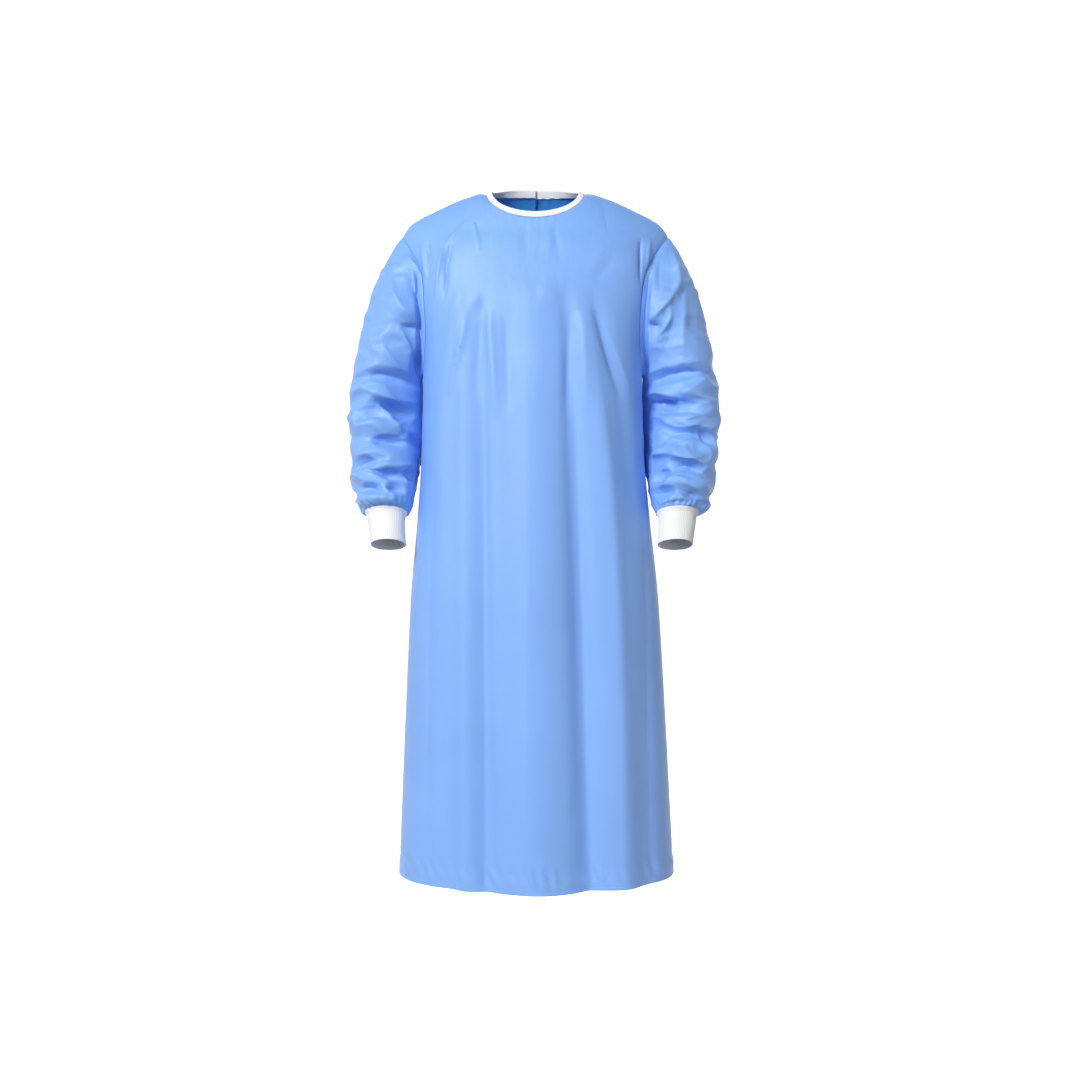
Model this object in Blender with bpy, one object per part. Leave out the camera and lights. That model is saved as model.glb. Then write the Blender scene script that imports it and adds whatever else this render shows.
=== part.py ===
"""A long-sleeved surgical gown, filled out as it is worn, with no wearer in it.

The wearer's front faces -Y, up is +Z, and +X is the wearer's left. The origin is in the middle of the neck,
level with the points where the shoulder seams reach the neck. Every cloth piece is a wall of even thickness
about a sheet of points in rows and columns, and sheets that are sewn together share the points of their seam.
"""
import bmesh
import bpy
import numpy as np
from mathutils.bvhtree import BVHTree
from mathutils.kdtree import KDTree

# Cloth and seams
CLOTH_WALL = 0.002
CUFF_WALL = 0.0026
BINDING_WALL = 0.0024
SEAM_GAP = 0.0004
SEAM_SETBACK = SEAM_GAP / 2
SHARPEST_MITRE = 0.45
SAME_POINT = 0.00002
SMOOTH_ANGLE = 50.0

# Body of the gown: height, half width, front depth, back depth, shift to the wearer's left
BODY_RINGS = (
    (0.030, 0.2740, 0.070, 0.1120, 0.0000),
    (-0.070, 0.2500, 0.082, 0.1100, 0.0000),
    (-0.100, 0.2340, 0.092, 0.1090, -0.0010),
    (-0.141, 0.2190, 0.104, 0.1080, -0.0030),
    (-0.200, 0.2040, 0.117, 0.1060, -0.0050),
    (-0.270, 0.1915, 0.123, 0.1040, -0.0050),
    (-0.315, 0.1900, 0.125, 0.1020, -0.0050),
    (-0.456, 0.1934, 0.127, 0.1020, -0.0045),
    (-0.561, 0.2013, 0.131, 0.1070, -0.0030),
    (-0.700, 0.2145, 0.138, 0.1160, -0.0015),
    (-0.897, 0.2249, 0.148, 0.1300, 0.0000),
    (-1.065, 0.2328, 0.158, 0.1420, 0.0010),
    (-1.200, 0.2390, 0.166, 0.1500, 0.0020),
)
RING_POWER = 2.5
HEM_SIDE = -1.177
HEM_FRONT_DIP = 0.008

# Neck and shoulders
NECK_HALF_WIDTH = 0.085
NECK_SIDE = 0.001
NECK_FRONT_DROP = 0.0545
NECK_BACK_RISE = 0.009
NECK_RIDGE = 0.034
NECK_RIDGE_POWER = 0.65
SHOULDER_ROUNDING = 0.14
# Shoulder seam: distance from the centre, height
SHOULDER = (
    (0.085, 0.001),
    (0.120, -0.0105),
    (0.160, -0.0275),
    (0.200, -0.0455),
    (0.215, -0.0545),
    (0.232, -0.0740),
    (0.262, -0.1150),
)

# Armhole: height, distance from the centre as a share of the half width there
ARMHOLE_TOP_X = 0.232
ARMHOLE_BOTTOM = -0.315
ARMHOLE = (
    (-0.074, 0.934),
    (-0.100, 0.919),
    (-0.141, 0.881),
    (-0.200, 0.907),
    (-0.270, 0.963),
    (-0.315, 1.000),
)

# Grid of the panels
PANELS = ("front", "back_left", "back_right")
ARMHOLE_ROWS = 12
BODY_ROWS = 20
BODY_ROW_GROWTH = 1.5
SHOULDER_COLUMNS = 6
NECK_COLUMNS = 8
OVERLAP_COLUMNS = 2
NECK_FAN = 0.24
NECK_FAN_POWER = 3
LOWER_NECK_SHARE = 0.56
SHARE_FADE = (0.10, 0.60)
NECK_FADE = 0.30
NECK_FADE_POWER = 0.25
ARMHOLE_PULL = 4

# Back opening: the left back lies over the right back
OVERLAP_SHARE = 0.30
OVERLAP_NECK_SHARE = 0.28
LAYER_OFFSET = 0.0025
LEFT_LAYER_RAMP = (0.05, 0.45)
RIGHT_LAYER_RAMP = (0.32, 0.50)

# Long folds of the front: heights and distances from the centre at start, middle and end,
# height of the fold at start and end, its half width at start and end
FRONT_FOLDS = (
    (-0.180, 0.000, -0.600, 0.012, -1.190, 0.010, 0.0040, 0.0100, 0.030, 0.042),
    (-0.200, -0.088, -0.500, -0.086, -1.190, -0.082, -0.0050, -0.0085, 0.012, 0.022),
    (-0.190, -0.118, -0.400, -0.116, -1.190, -0.116, 0.0035, 0.0045, 0.010, 0.018),
    (-0.190, -0.125, -0.300, -0.141, -0.520, -0.168, 0.0050, 0.0020, 0.012, 0.018),
    (-0.560, -0.148, -0.800, -0.150, -1.190, -0.148, -0.0010, -0.0070, 0.020, 0.026),
    (-0.200, 0.058, -0.600, 0.074, -1.190, 0.095, -0.0060, -0.0125, 0.013, 0.030),
    (-0.230, 0.090, -0.586, 0.132, -1.190, 0.150, 0.0050, 0.0070, 0.015, 0.024),
    (-0.200, 0.105, -0.341, 0.146, -0.620, 0.180, -0.0060, -0.0030, 0.012, 0.018),
    (-0.600, 0.180, -0.850, 0.186, -1.190, 0.188, -0.0010, -0.0060, 0.018, 0.024),
)
BACK_FOLDS = (
    (-0.560, 0.060, -0.800, 0.065, -1.190, 0.070, 0.0010, 0.0090, 0.026, 0.036),
    (-0.300, 0.112, -0.700, 0.120, -1.190, 0.128, -0.0040, -0.0080, 0.018, 0.026),
    (-0.520, -0.130, -0.800, -0.132, -1.190, -0.138, -0.0020, -0.0080, 0.018, 0.026),
    (-0.600, -0.010, -0.900, -0.012, -1.190, -0.014, -0.0010, -0.0060, 0.024, 0.034),
)
FOLD_END = 0.06

# Sleeves below the elbow: height, inner edge, outer edge, front edge, back edge, forward tilt in degrees
RIGHT_FOREARM = (
    (-0.380, 0.2025, 0.3200, -0.060, 0.0880, 0.0),
    (-0.430, 0.2025, 0.3190, -0.067, 0.0760, 3.0),
    (-0.480, 0.2050, 0.3160, -0.078, 0.0560, 8.0),
    (-0.520, 0.2085, 0.3125, -0.088, 0.0360, 13.0),
    (-0.545, 0.2140, 0.3065, -0.0945, 0.0140, 17.0),
    (-0.556, 0.2205, 0.2915, -0.0880, -0.0170, 19.0),
)
LEFT_FOREARM = (
    (-0.380, 0.1925, 0.3165, -0.060, 0.0880, 0.0),
    (-0.430, 0.1930, 0.3165, -0.067, 0.0760, 3.0),
    (-0.480, 0.1945, 0.3105, -0.078, 0.0560, 8.0),
    (-0.520, 0.1975, 0.3060, -0.088, 0.0360, 13.0),
    (-0.545, 0.2030, 0.2985, -0.0945, 0.0140, 17.0),
    (-0.556, 0.2085, 0.2795, -0.0880, -0.0170, 19.0),
)
ELBOW = -0.380
UPPER_ROWS = 13
FOREARM_ROWS = 13
# Start of the sleeve at the armhole: turn from the top by the front, reach outwards, forwards, up, length
SLEEVE_START = (
    (0.00, 0.62, 0.00, -0.78, 0.250),
    (0.25, 0.80, 0.30, -0.45, 0.190),
    (0.50, 0.90, 0.35, -0.10, 0.140),
    (0.75, 0.93, 0.22, 0.12, 0.080),
    (1.00, 0.95, 0.00, 0.25, 0.034),
)
# End of the upper sleeve at the elbow: turn, length of the run straight down into the forearm
ELBOW_RUN = (
    (0.0, 0.300),
    (0.5, 0.240),
    (1.0, 0.080),
)

# Sleeve folds: height, turn (0 outside, 0.5 front, 1 inside, 1.5 back), half length in turns,
# slope in metres a turn, height of the fold, its half width
RIGHT_SLEEVE_FOLDS = (
    (-0.205, 0.45, 0.30, -0.090, 0.0040, 0.014),
    (-0.270, 0.35, 0.25, 0.020, -0.0035, 0.012),
    (-0.325, 0.50, 0.32, -0.020, -0.0045, 0.009),
    (-0.348, 0.45, 0.34, -0.012, 0.0045, 0.010),
    (-0.374, 0.62, 0.26, -0.010, -0.0065, 0.010),
    (-0.395, 0.30, 0.34, -0.045, 0.0060, 0.011),
    (-0.431, 0.50, 0.34, -0.015, -0.0055, 0.011),
    (-0.458, 0.58, 0.28, -0.020, 0.0045, 0.010),
    (-0.462, 0.05, 0.20, 0.010, -0.0035, 0.011),
    (-0.487, 0.58, 0.30, -0.015, -0.0055, 0.009),
    (-0.500, 0.12, 0.26, 0.015, 0.0045, 0.010),
    (-0.521, 0.20, 0.22, 0.000, -0.0040, 0.007),
    (-0.350, 1.45, 0.30, 0.020, -0.0050, 0.012),
    (-0.400, 1.50, 0.34, -0.015, 0.0050, 0.013),
    (-0.445, 1.48, 0.32, 0.020, -0.0055, 0.012),
    (-0.492, 1.55, 0.30, 0.010, 0.0045, 0.012),
)
LEFT_SLEEVE_FOLDS = (
    (-0.185, 0.50, 0.26, -0.110, 0.0045, 0.014),
    (-0.250, 0.55, 0.22, -0.050, -0.0035, 0.013),
    (-0.320, 0.45, 0.34, -0.015, -0.0045, 0.009),
    (-0.345, 0.45, 0.34, -0.030, 0.0050, 0.010),
    (-0.370, 0.66, 0.24, -0.015, -0.0070, 0.010),
    (-0.392, 0.40, 0.32, 0.010, 0.0055, 0.011),
    (-0.424, 0.28, 0.26, -0.030, -0.0055, 0.012),
    (-0.455, 0.58, 0.34, 0.020, 0.0050, 0.010),
    (-0.473, 0.05, 0.20, 0.010, -0.0040, 0.009),
    (-0.485, 0.66, 0.26, -0.012, -0.0060, 0.009),
    (-0.508, 0.50, 0.34, 0.005, 0.0045, 0.009),
    (-0.528, 0.30, 0.24, 0.000, -0.0035, 0.007),
    (-0.345, 1.52, 0.32, -0.015, -0.0050, 0.012),
    (-0.396, 1.46, 0.34, 0.020, 0.0050, 0.013),
    (-0.440, 1.54, 0.30, -0.020, -0.0055, 0.012),
    (-0.488, 1.48, 0.30, -0.010, 0.0045, 0.012),
)
FOLD_FREE_WIDTH = 0.24
FOLD_FREE_ROWS = (3.0, 2.0)

# Knit cuffs: distance below the sleeve seam, radius
CUFF_PROFILE = (
    (0.000, 0.0355),
    (0.009, 0.0318),
    (0.026, 0.0305),
    (0.058, 0.0288),
)
CUFF_ROWS = 5
CUFF_TILT = 19.0
CUFF_LEAN = 5.5

# Neck binding
BINDING_HEIGHT = 0.011
BINDING_LEAN = 0.30
BINDING_ROWS = 2
NECK_MIDDLE = np.array((0.0, -0.005, 0.0))

# Tie tapes on the back: name part, height, width, length of the hanging ends, heights of the left and right
# tapes over the right back, then the angles in degrees from the centre back of the left end, knot and right end
TAPE_THICKNESS = 0.0012
TIES = (
    ("neck", -0.032, 0.012, 0.180, 0.0078, 0.0030, 6.0, 36.0, 52.0),
    ("waist", -0.420, 0.014, 0.240, 0.0074, 0.0022, 16.0, 42.0, 62.0),
)
TAPE_NUDGE = 0.03
TAPE_RISE = 0.003
TIE_GAP = 0.0004
TIE_COLUMNS = 7
TIE_RISE = (0.35, 1.0)
# Knot: half length, half height, thickness, height of its middle over the plain back
KNOT_HALF_LENGTH = 0.009
KNOT_HALF_HEIGHT = 0.0065
KNOT_THICKNESS = 0.0060
KNOT_CLEARANCE = 0.0062
KNOT_MIDDLE = 0.0010
# Hanging ends: distance below the knot as a share, distance from its middle, share of full width, thickness,
# height over the plain back
TAIL_SECTIONS = (
    (0.03, 0.0070, 0.75, 0.0030, 0.0055),
    (0.07, 0.0088, 1.00, 0.0014, 0.0048),
    (0.20, 0.0100, 1.00, 0.0012, 0.0042),
    (0.35, 0.0125, 1.00, 0.0012, 0.0038),
    (0.50, 0.0140, 1.00, 0.0012, 0.0034),
    (0.65, 0.0150, 1.00, 0.0012, 0.0032),
    (0.80, 0.0155, 1.00, 0.0012, 0.0032),
    (1.00, 0.0155, 1.00, 0.0012, 0.0032),
)
RIGHT_TAIL_SHARE = 0.90

# Colours: red, green and blue as linear shares, then roughness
BLUE_CLOTH = ((0.130, 0.330, 0.850, 1.0), 0.55)
WHITE_KNIT = ((0.860, 0.870, 0.890, 1.0), 0.90)
WHITE_TAPE = ((0.880, 0.890, 0.900, 1.0), 0.80)


def read(table, column, at):
    """Read one column of a table at values of its first column, along a smooth curve with no overshoot."""
    rows = np.array(sorted(row[:1] + (row[column],) for row in table))
    places, values = rows[:, 0], rows[:, 1]
    steps = np.diff(values) / np.diff(places)
    slopes = np.concatenate(([steps[0]], np.zeros(len(steps) - 1), [steps[-1]]))
    same_way = steps[:-1] * steps[1:] > 0.0
    total = np.where(same_way, steps[:-1] + steps[1:], 1.0)
    slopes[1:-1] = np.where(same_way, 2.0 * steps[:-1] * steps[1:] / total, 0.0)
    at = np.clip(at, places[0], places[-1])
    start = np.clip(np.searchsorted(places, at) - 1, 0, len(places) - 2)
    width = places[start + 1] - places[start]
    share = (at - places[start]) / width
    return (values[start] * (1.0 + 2.0 * share) * (1.0 - share) ** 2
            + values[start + 1] * share ** 2 * (3.0 - 2.0 * share)
            + width * slopes[start] * share * (1.0 - share) ** 2
            + width * slopes[start + 1] * share ** 2 * (share - 1.0))


def ease(start, end, at):
    """A smooth step from 0 at start to 1 at end."""
    share = np.clip((at - start) / (end - start), 0.0, 1.0)
    return share * share * (3.0 - 2.0 * share)


def shoulder_height(x):
    """Height of the shoulder ridge at a distance from the centre, carried on over the neck."""
    inside = 1.0 - np.clip(np.abs(x) / NECK_HALF_WIDTH, 0.0, 1.0) ** 2
    return read(SHOULDER, 1, np.abs(x)) + NECK_RIDGE * inside ** NECK_RIDGE_POWER


def long_folds(table, x, z):
    """Sum of the long folds at a place: each is a soft ridge or trough along a line down the panel."""
    total = np.zeros(np.shape(x))
    for z_start, x_start, z_middle, x_middle, z_end, x_end, start, end, width_start, width_end in table:
        line = np.interp(-z, (-z_start, -z_middle, -z_end), (x_start, x_middle, x_end))
        share = np.clip((z_start - z) / (z_start - z_end), 0.0, 1.0)
        size = start + (end - start) * share
        width = width_start + (width_end - width_start) * share
        ends = ease(z_start + FOLD_END / 2, z_start - FOLD_END / 2, z)
        if z_end > HEM_SIDE:
            ends = ends * ease(z_end - FOLD_END, z_end + FOLD_END, z)
        total = total + size * ends * np.exp(-((x - line) / width) ** 2)
    return total


def depth_column(back):
    """Column of the body table that holds this side's depth."""
    return 3 if back else 2


def ring_angle(x, z, back):
    """Angle from the centre of the panel at which the body ring of this height has this half width."""
    half_width = read(BODY_RINGS, 1, z)
    share = np.clip(np.abs(x) / half_width, 0.0, 1.0)
    depth = read(BODY_RINGS, depth_column(back), z) * (1.0 - share ** RING_POWER) ** (1.0 / RING_POWER)
    return np.sign(x) * np.arctan2(np.abs(x), depth)


def body_point(angle, z, back, lift, ridge=None):
    """Point of the body: a rounded ring, drawn together under the shoulder ridge, moved out by the folds."""
    half_width = read(BODY_RINGS, 1, z)
    depth = read(BODY_RINGS, depth_column(back), z)
    sine = np.sin(angle)
    cosine = np.maximum(np.cos(angle), 0.0)
    radius = ((cosine / depth) ** RING_POWER + np.abs(sine / half_width) ** RING_POWER) ** (-1.0 / RING_POWER)
    x = radius * sine
    ridge = shoulder_height(x) if ridge is None else ridge
    below = np.clip((ridge - z) / SHOULDER_ROUNDING, 0.0, 1.0)
    fullness = np.sqrt(1.0 - (1.0 - below) ** 2)
    folds = long_folds(BACK_FOLDS if back else FRONT_FOLDS, x, z) * np.sqrt(cosine)
    out = folds + lift
    y = radius * cosine * fullness + out * cosine
    side = 1.0 if back else -1.0
    return np.stack((x + out * sine + read(BODY_RINGS, 4, z), side * y, z * np.ones(np.shape(x))), axis=-1)


def edge_heights():
    """Heights of the panel rows at the side edge: round the armhole, then down the side seam to the hem."""
    top = float(shoulder_height(ARMHOLE_TOP_X))
    turn = np.linspace(0.0, np.pi, ARMHOLE_ROWS + 1)
    armhole = top + (ARMHOLE_BOTTOM - top) * (1.0 - np.cos(turn)) / 2.0
    share = np.linspace(0.0, 1.0, BODY_ROWS + 1)[1:] ** BODY_ROW_GROWTH
    return np.concatenate((armhole, ARMHOLE_BOTTOM + (HEM_SIDE - ARMHOLE_BOTTOM) * share))


def top_edge(back, overlap):
    """Columns of a panel from its centre or free edge to the armhole: place along the neck from 0 to 1, or along
    the shoulder from 1 to 2, distance from the centre, height."""
    place = np.arange(NECK_COLUMNS + 1) / NECK_COLUMNS
    if overlap:
        lap = -OVERLAP_NECK_SHARE * np.arange(OVERLAP_COLUMNS, 0, -1) / OVERLAP_COLUMNS
        place = np.concatenate((lap, place))
    step = np.arange(1, SHOULDER_COLUMNS + 1) / SHOULDER_COLUMNS
    neck_x = NECK_HALF_WIDTH * np.sin(place * np.pi / 2)
    rise = NECK_BACK_RISE if back else -NECK_FRONT_DROP
    neck_z = NECK_SIDE + rise * np.cos(place * np.pi / 2)
    shoulder_x = NECK_HALF_WIDTH + (ARMHOLE_TOP_X - NECK_HALF_WIDTH) * step
    x = np.concatenate((neck_x, shoulder_x))
    z = np.concatenate((neck_z, shoulder_height(shoulder_x)))
    return np.concatenate((place, 1.0 + step)), x, z


def lower_share(place):
    """Share of the way round from the panel's centre to its side at which a column runs low on the panel."""
    along_neck = np.where(place < 0.0, place / OVERLAP_NECK_SHARE * OVERLAP_SHARE, place * LOWER_NECK_SHARE)
    return np.where(place > 1.0, LOWER_NECK_SHARE + (1.0 - LOWER_NECK_SHARE) * (place - 1.0), along_neck)


def upper_share(place, top_angle, side_angle, edge_angle):
    """The same share high on the panel, where the columns fan out from the neck."""
    turned = top_angle / side_angle
    along_neck = side_angle / edge_angle * turned * (1.0 + NECK_FAN * np.abs(turned) ** NECK_FAN_POWER)
    neck_end = side_angle / edge_angle * (1.0 + NECK_FAN)
    return np.where(place > 1.0, neck_end + (1.0 - neck_end) * (place - 1.0), along_neck)


def reach(share, edge_angle):
    """Angle of a column: its share of a quarter turn, and near the side its share of the armhole's angle."""
    return share * np.pi / 2 - np.abs(share) ** ARMHOLE_PULL * (np.pi / 2 - edge_angle)


def half_panel(back, side, overlap=False, layer=0.0, ramp=(0.0, 1.0)):
    """Sheet from the centre or free edge to the armhole and side seam of one side, rows from top to hem."""
    place, top_x, top_z = top_edge(back, overlap)
    heights = edge_heights()[:, None]
    down = (heights - heights[0]) / (heights[-1] - heights[0])
    armhole_x = read(ARMHOLE, 1, heights) * read(BODY_RINGS, 1, heights)
    armhole_x[0] = ARMHOLE_TOP_X
    edge_angle = np.where(heights > ARMHOLE_BOTTOM, ring_angle(armhole_x, heights, back), np.pi / 2)
    top_angle = ring_angle(top_x, top_z, back)
    side_angle = top_angle[np.searchsorted(place, 1.0)]
    upper = upper_share(place, top_angle, side_angle, edge_angle[0, 0])
    lower = ease(SHARE_FADE[0], SHARE_FADE[1], down)
    share = upper * (1.0 - lower) + lower_share(place) * lower
    level = ease(0.0, 1.0, (heights - heights[0]) / (ARMHOLE_BOTTOM - heights[0]))
    dip = 0.0 if back else HEM_FRONT_DIP * np.cos(share * np.pi / 2) ** 2
    z = heights + (top_z - top_z[-1]) * (1.0 - level) - dip * down ** 2
    blend = np.clip(1.0 - (down / NECK_FADE) ** NECK_FADE_POWER, 0.0, 1.0)
    angle = reach(share, edge_angle) + (top_angle - reach(upper, edge_angle[0, 0])) * blend
    lift = layer * (1.0 - ease(ramp[0], ramp[1], share)) * np.ones(np.shape(z))
    return body_point(side * angle, z, back, lift, shoulder_height(top_x))


def sheet_normals(sheet, closed, outward):
    """Unit normals of a sheet from its neighbouring rows and columns, turned to point away from a middle."""
    down = np.gradient(sheet, axis=0)
    if closed:
        across = np.roll(sheet, -1, axis=1) - np.roll(sheet, 1, axis=1)
    else:
        across = np.gradient(sheet, axis=1)
    normals = np.cross(down, across)
    normals /= np.linalg.norm(normals, axis=-1, keepdims=True)
    if np.sum(normals * outward) < 0.0:
        normals = -normals
    return normals


def sleeve_turns():
    """Turns of the sleeve's columns: 0 at the top or outside, 0.5 in front, 1 under the arm, 1.5 behind."""
    return np.arange(2 * ARMHOLE_ROWS) / ARMHOLE_ROWS


def forearm_ring(table, side, z, turn):
    """Ring of the forearm: an ellipse between its four edges, tipped forwards."""
    inner, outer, front, rear, tilt = (read(table, column, z) for column in range(1, 6))
    angle = turn * np.pi
    across = (outer - inner) / 2 * np.cos(angle)
    ahead = (rear - front) / 2 * np.sin(angle)
    lean = np.radians(tilt)
    x = (outer + inner) / 2 + across
    y = (front + rear) / 2 - ahead * np.cos(lean)
    return np.stack((side * x, y, z + ahead * np.sin(lean)), axis=-1)


def sleeve_folds(table, turn, z):
    """Sum of the sleeve's cross folds, kept off the stretch that hangs beside the body."""
    total = np.zeros(np.shape(z))
    for height, middle, span, slope, size, width in table:
        around = (turn - middle + 1.0) % 2.0 - 1.0
        across = (z - height - slope * around) / width
        total = total + size * np.exp(-(around / span) ** 2 - across ** 2)
    return total * ease(0.0, FOLD_FREE_WIDTH, np.abs(turn - 1.0))


def sleeve_sheet(armhole, forearm, folds, side):
    """Sheet of a sleeve: a curve from each armhole point to the elbow ring, then rings down to the cuff."""
    turn = sleeve_turns()
    front_turn = np.minimum(turn, 2.0 - turn)
    facing = np.where(turn > 1.0, -1.0, 1.0)
    length = read(SLEEVE_START, 4, front_turn)
    start = np.stack((side * read(SLEEVE_START, 1, front_turn), -facing * read(SLEEVE_START, 2, front_turn),
                      read(SLEEVE_START, 3, front_turn)), axis=-1) * length[:, None]
    elbow = forearm_ring(forearm, side, ELBOW, turn)
    end = np.zeros(elbow.shape)
    end[:, 2] = -read(ELBOW_RUN, 1, front_turn)
    share = np.linspace(0.0, 1.0, UPPER_ROWS + 1)[:, None, None]
    upper = (armhole * (1.0 + 2.0 * share) * (1.0 - share) ** 2 + start * share * (1.0 - share) ** 2
             + elbow * share ** 2 * (3.0 - 2.0 * share) + end * share ** 2 * (share - 1.0))
    wrist = forearm[-1][0]
    fall = np.sin(np.linspace(0.0, 1.0, FOREARM_ROWS + 1)[1:] * np.pi / 2)[:, None]
    lower = forearm_ring(forearm, side, ELBOW + (wrist - ELBOW) * fall, turn)
    sheet = np.concatenate((upper, lower))
    normals = sheet_normals(sheet, True, sheet - sheet.mean(axis=1, keepdims=True))
    rows = np.arange(len(sheet))[:, None]
    loose = ease(0.0, FOLD_FREE_ROWS[0], rows) * ease(0.0, FOLD_FREE_ROWS[1], len(sheet) - 1 - rows)
    return sheet + normals * (sleeve_folds(folds, turn, sheet[..., 2]) * loose)[..., None]


def cuff_sheet(top_ring, side):
    """Sheet of a cuff: rings of the knit profile along an axis that tips forwards and leans in."""
    tilt, lean = np.radians(CUFF_TILT), np.radians(CUFF_LEAN)
    axis = np.array((-side * np.sin(lean), -np.sin(tilt), -np.cos(tilt)))
    axis /= np.linalg.norm(axis)
    middle = top_ring.mean(axis=0)
    away = top_ring - middle
    radius = np.linalg.norm(away, axis=-1, keepdims=True)
    along = np.linspace(0.0, CUFF_PROFILE[-1][0], CUFF_ROWS + 1)
    wanted = read(CUFF_PROFILE, 1, along)
    keep = np.clip(1.0 - along / CUFF_PROFILE[1][0], 0.0, 1.0)
    rings = [middle + axis * along[row] + away / radius * (wanted[row] + (radius - wanted[0]) * keep[row])
             for row in range(len(along))]
    return np.array(rings)


def binding_sheet(edge, edge_normals):
    """Sheet of the neck binding: the neck edge carried up and a little inwards from just above the panels."""
    inward = NECK_MIDDLE - edge
    inward[:, 2] = 0.0
    inward /= np.linalg.norm(inward, axis=-1, keepdims=True)
    up = inward * BINDING_LEAN + np.array((0.0, 0.0, 1.0))
    up /= np.linalg.norm(up, axis=-1, keepdims=True)
    start = SEAM_GAP + CLOTH_WALL / 2 * np.maximum(np.sum(edge_normals * up, axis=-1), 0.0)[:, None]
    share = np.linspace(1.0, 0.0, BINDING_ROWS + 1)[:, None, None]
    return edge + up * (start + (BINDING_HEIGHT - start) * share)


def seam_lines(piece):
    """Index pairs of a piece's seam edges: the edge's points and the points next to them."""
    whole = slice(None)
    lines = {"top": ((0, whole), (1, whole)), "bottom": ((-1, whole), (-2, whole)),
             "first": ((whole, 0), (whole, 1)), "last": ((whole, -1), (whole, -2))}
    return [lines[name] for name in piece["seams"]]


def share_seam_normals(pieces):
    """Give each point that pieces share the mean of their normals, so that their walls meet on a mitre."""
    places = np.concatenate([piece["sheet"].reshape(-1, 3) for piece in pieces])
    normals = np.concatenate([piece["normals"].reshape(-1, 3) for piece in pieces])
    tree = KDTree(len(places))
    for index, place in enumerate(places):
        tree.insert(place, index)
    tree.balance()
    for piece in pieces:
        shared = piece["normals"].copy()
        mitre = np.ones(shared.shape[:2])
        for row, column in np.ndindex(mitre.shape):
            found = tree.find_range(piece["sheet"][row, column], SAME_POINT)
            if len(found) > 1:
                mean = sum(normals[index] for _, index, _ in found)
                mean = mean / np.linalg.norm(mean)
                shared[row, column] = mean
                alike = float(np.dot(mean, piece["normals"][row, column]))
                mitre[row, column] = 1.0 / max(alike, SHARPEST_MITRE)
        piece["wall_normals"] = shared * mitre[..., None]
        piece["directions"] = shared


def set_back(piece):
    """Draw a piece's seam edges back along its own sheet, so that a narrow gap is left at each seam."""
    moved = piece["sheet"].copy()
    for edge, beside in seam_lines(piece):
        inward = piece["sheet"][beside] - piece["sheet"][edge]
        along = np.gradient(piece["sheet"][edge], axis=0)
        along /= np.linalg.norm(along, axis=-1, keepdims=True)
        normal = piece["directions"][edge]
        inward = inward - normal * np.sum(inward * normal, axis=-1, keepdims=True)
        inward = inward - along * np.sum(inward * along, axis=-1, keepdims=True)
        inward /= np.linalg.norm(inward, axis=-1, keepdims=True)
        moved[edge] = moved[edge] + inward * SEAM_SETBACK
    piece["sheet"] = moved


def wall_mesh(sheet, wall_normals, thickness, closed):
    """Points and triangles of a closed wall about a sheet."""
    rows, columns = sheet.shape[:2]
    outer = (sheet + wall_normals * thickness / 2).reshape(-1, 3)
    inner = (sheet - wall_normals * thickness / 2).reshape(-1, 3)
    points = np.concatenate((outer, inner))
    number = np.arange(rows * columns).reshape(rows, columns)
    if closed:
        number = np.concatenate((number, number[:, :1]), axis=1)
    far = number + rows * columns
    outer = np.stack((number[:-1, :-1], number[1:, :-1], number[1:, 1:], number[:-1, 1:]), axis=-1)
    inner = np.stack((far[:-1, 1:], far[1:, 1:], far[1:, :-1], far[:-1, :-1]), axis=-1)
    quads = [outer.reshape(-1, 4), inner.reshape(-1, 4),
             np.stack((number[0, :-1], number[0, 1:], far[0, 1:], far[0, :-1]), axis=-1),
             np.stack((number[-1, 1:], number[-1, :-1], far[-1, :-1], far[-1, 1:]), axis=-1)]
    if not closed:
        quads += [np.stack((number[:-1, 0], far[:-1, 0], far[1:, 0], number[1:, 0]), axis=-1),
                  np.stack((number[:-1, -1], number[1:, -1], far[1:, -1], far[:-1, -1]), axis=-1)]
    first, second = quads[0], quads[1]
    # Both faces of the wall are cut along the same diagonal, so that its thickness stays even
    triangles = [first[:, (0, 1, 2)], first[:, (0, 2, 3)], second[:, (1, 2, 3)], second[:, (1, 3, 0)]]
    for rim in quads[2:]:
        triangles += [rim[:, (0, 1, 2)], rim[:, (0, 2, 3)]]
    return points, np.concatenate(triangles)


def add_object(name, points, triangles, material):
    """Add a named mesh object, with its faces turned outwards."""
    corners = points[triangles]
    volume = np.sum(corners[:, 0] * np.cross(corners[:, 1], corners[:, 2])) / 6.0
    if volume < 0.0:
        triangles = triangles[:, ::-1]
    mesh = bpy.data.meshes.new(name)
    mesh.from_pydata(points.tolist(), [], triangles.tolist())
    mesh.shade_smooth()
    mesh.set_sharp_from_angle(angle=np.radians(SMOOTH_ANGLE))
    mesh.materials.append(material)
    thing = bpy.data.objects.new(name, mesh)
    bpy.context.scene.collection.objects.link(thing)
    return thing


def make_material(name, finish):
    """A plain material of one colour and roughness."""
    colour, roughness = finish
    material = bpy.data.materials.new(name)
    material.use_nodes = True
    shader = material.node_tree.nodes["Principled BSDF"]
    shader.inputs["Base Color"].default_value = colour
    shader.inputs["Roughness"].default_value = roughness
    shader.inputs["Metallic"].default_value = 0.0
    return material


def sheet_tree(piece):
    """Search tree of the triangles of a piece's sheet."""
    points, triangles = wall_mesh(piece["sheet"], piece["wall_normals"], 0.0, piece["closed"])
    flat = triangles[np.all(triangles < len(points) // 2, axis=1)]
    return BVHTree.FromPolygons(points.tolist(), flat.tolist())


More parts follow.
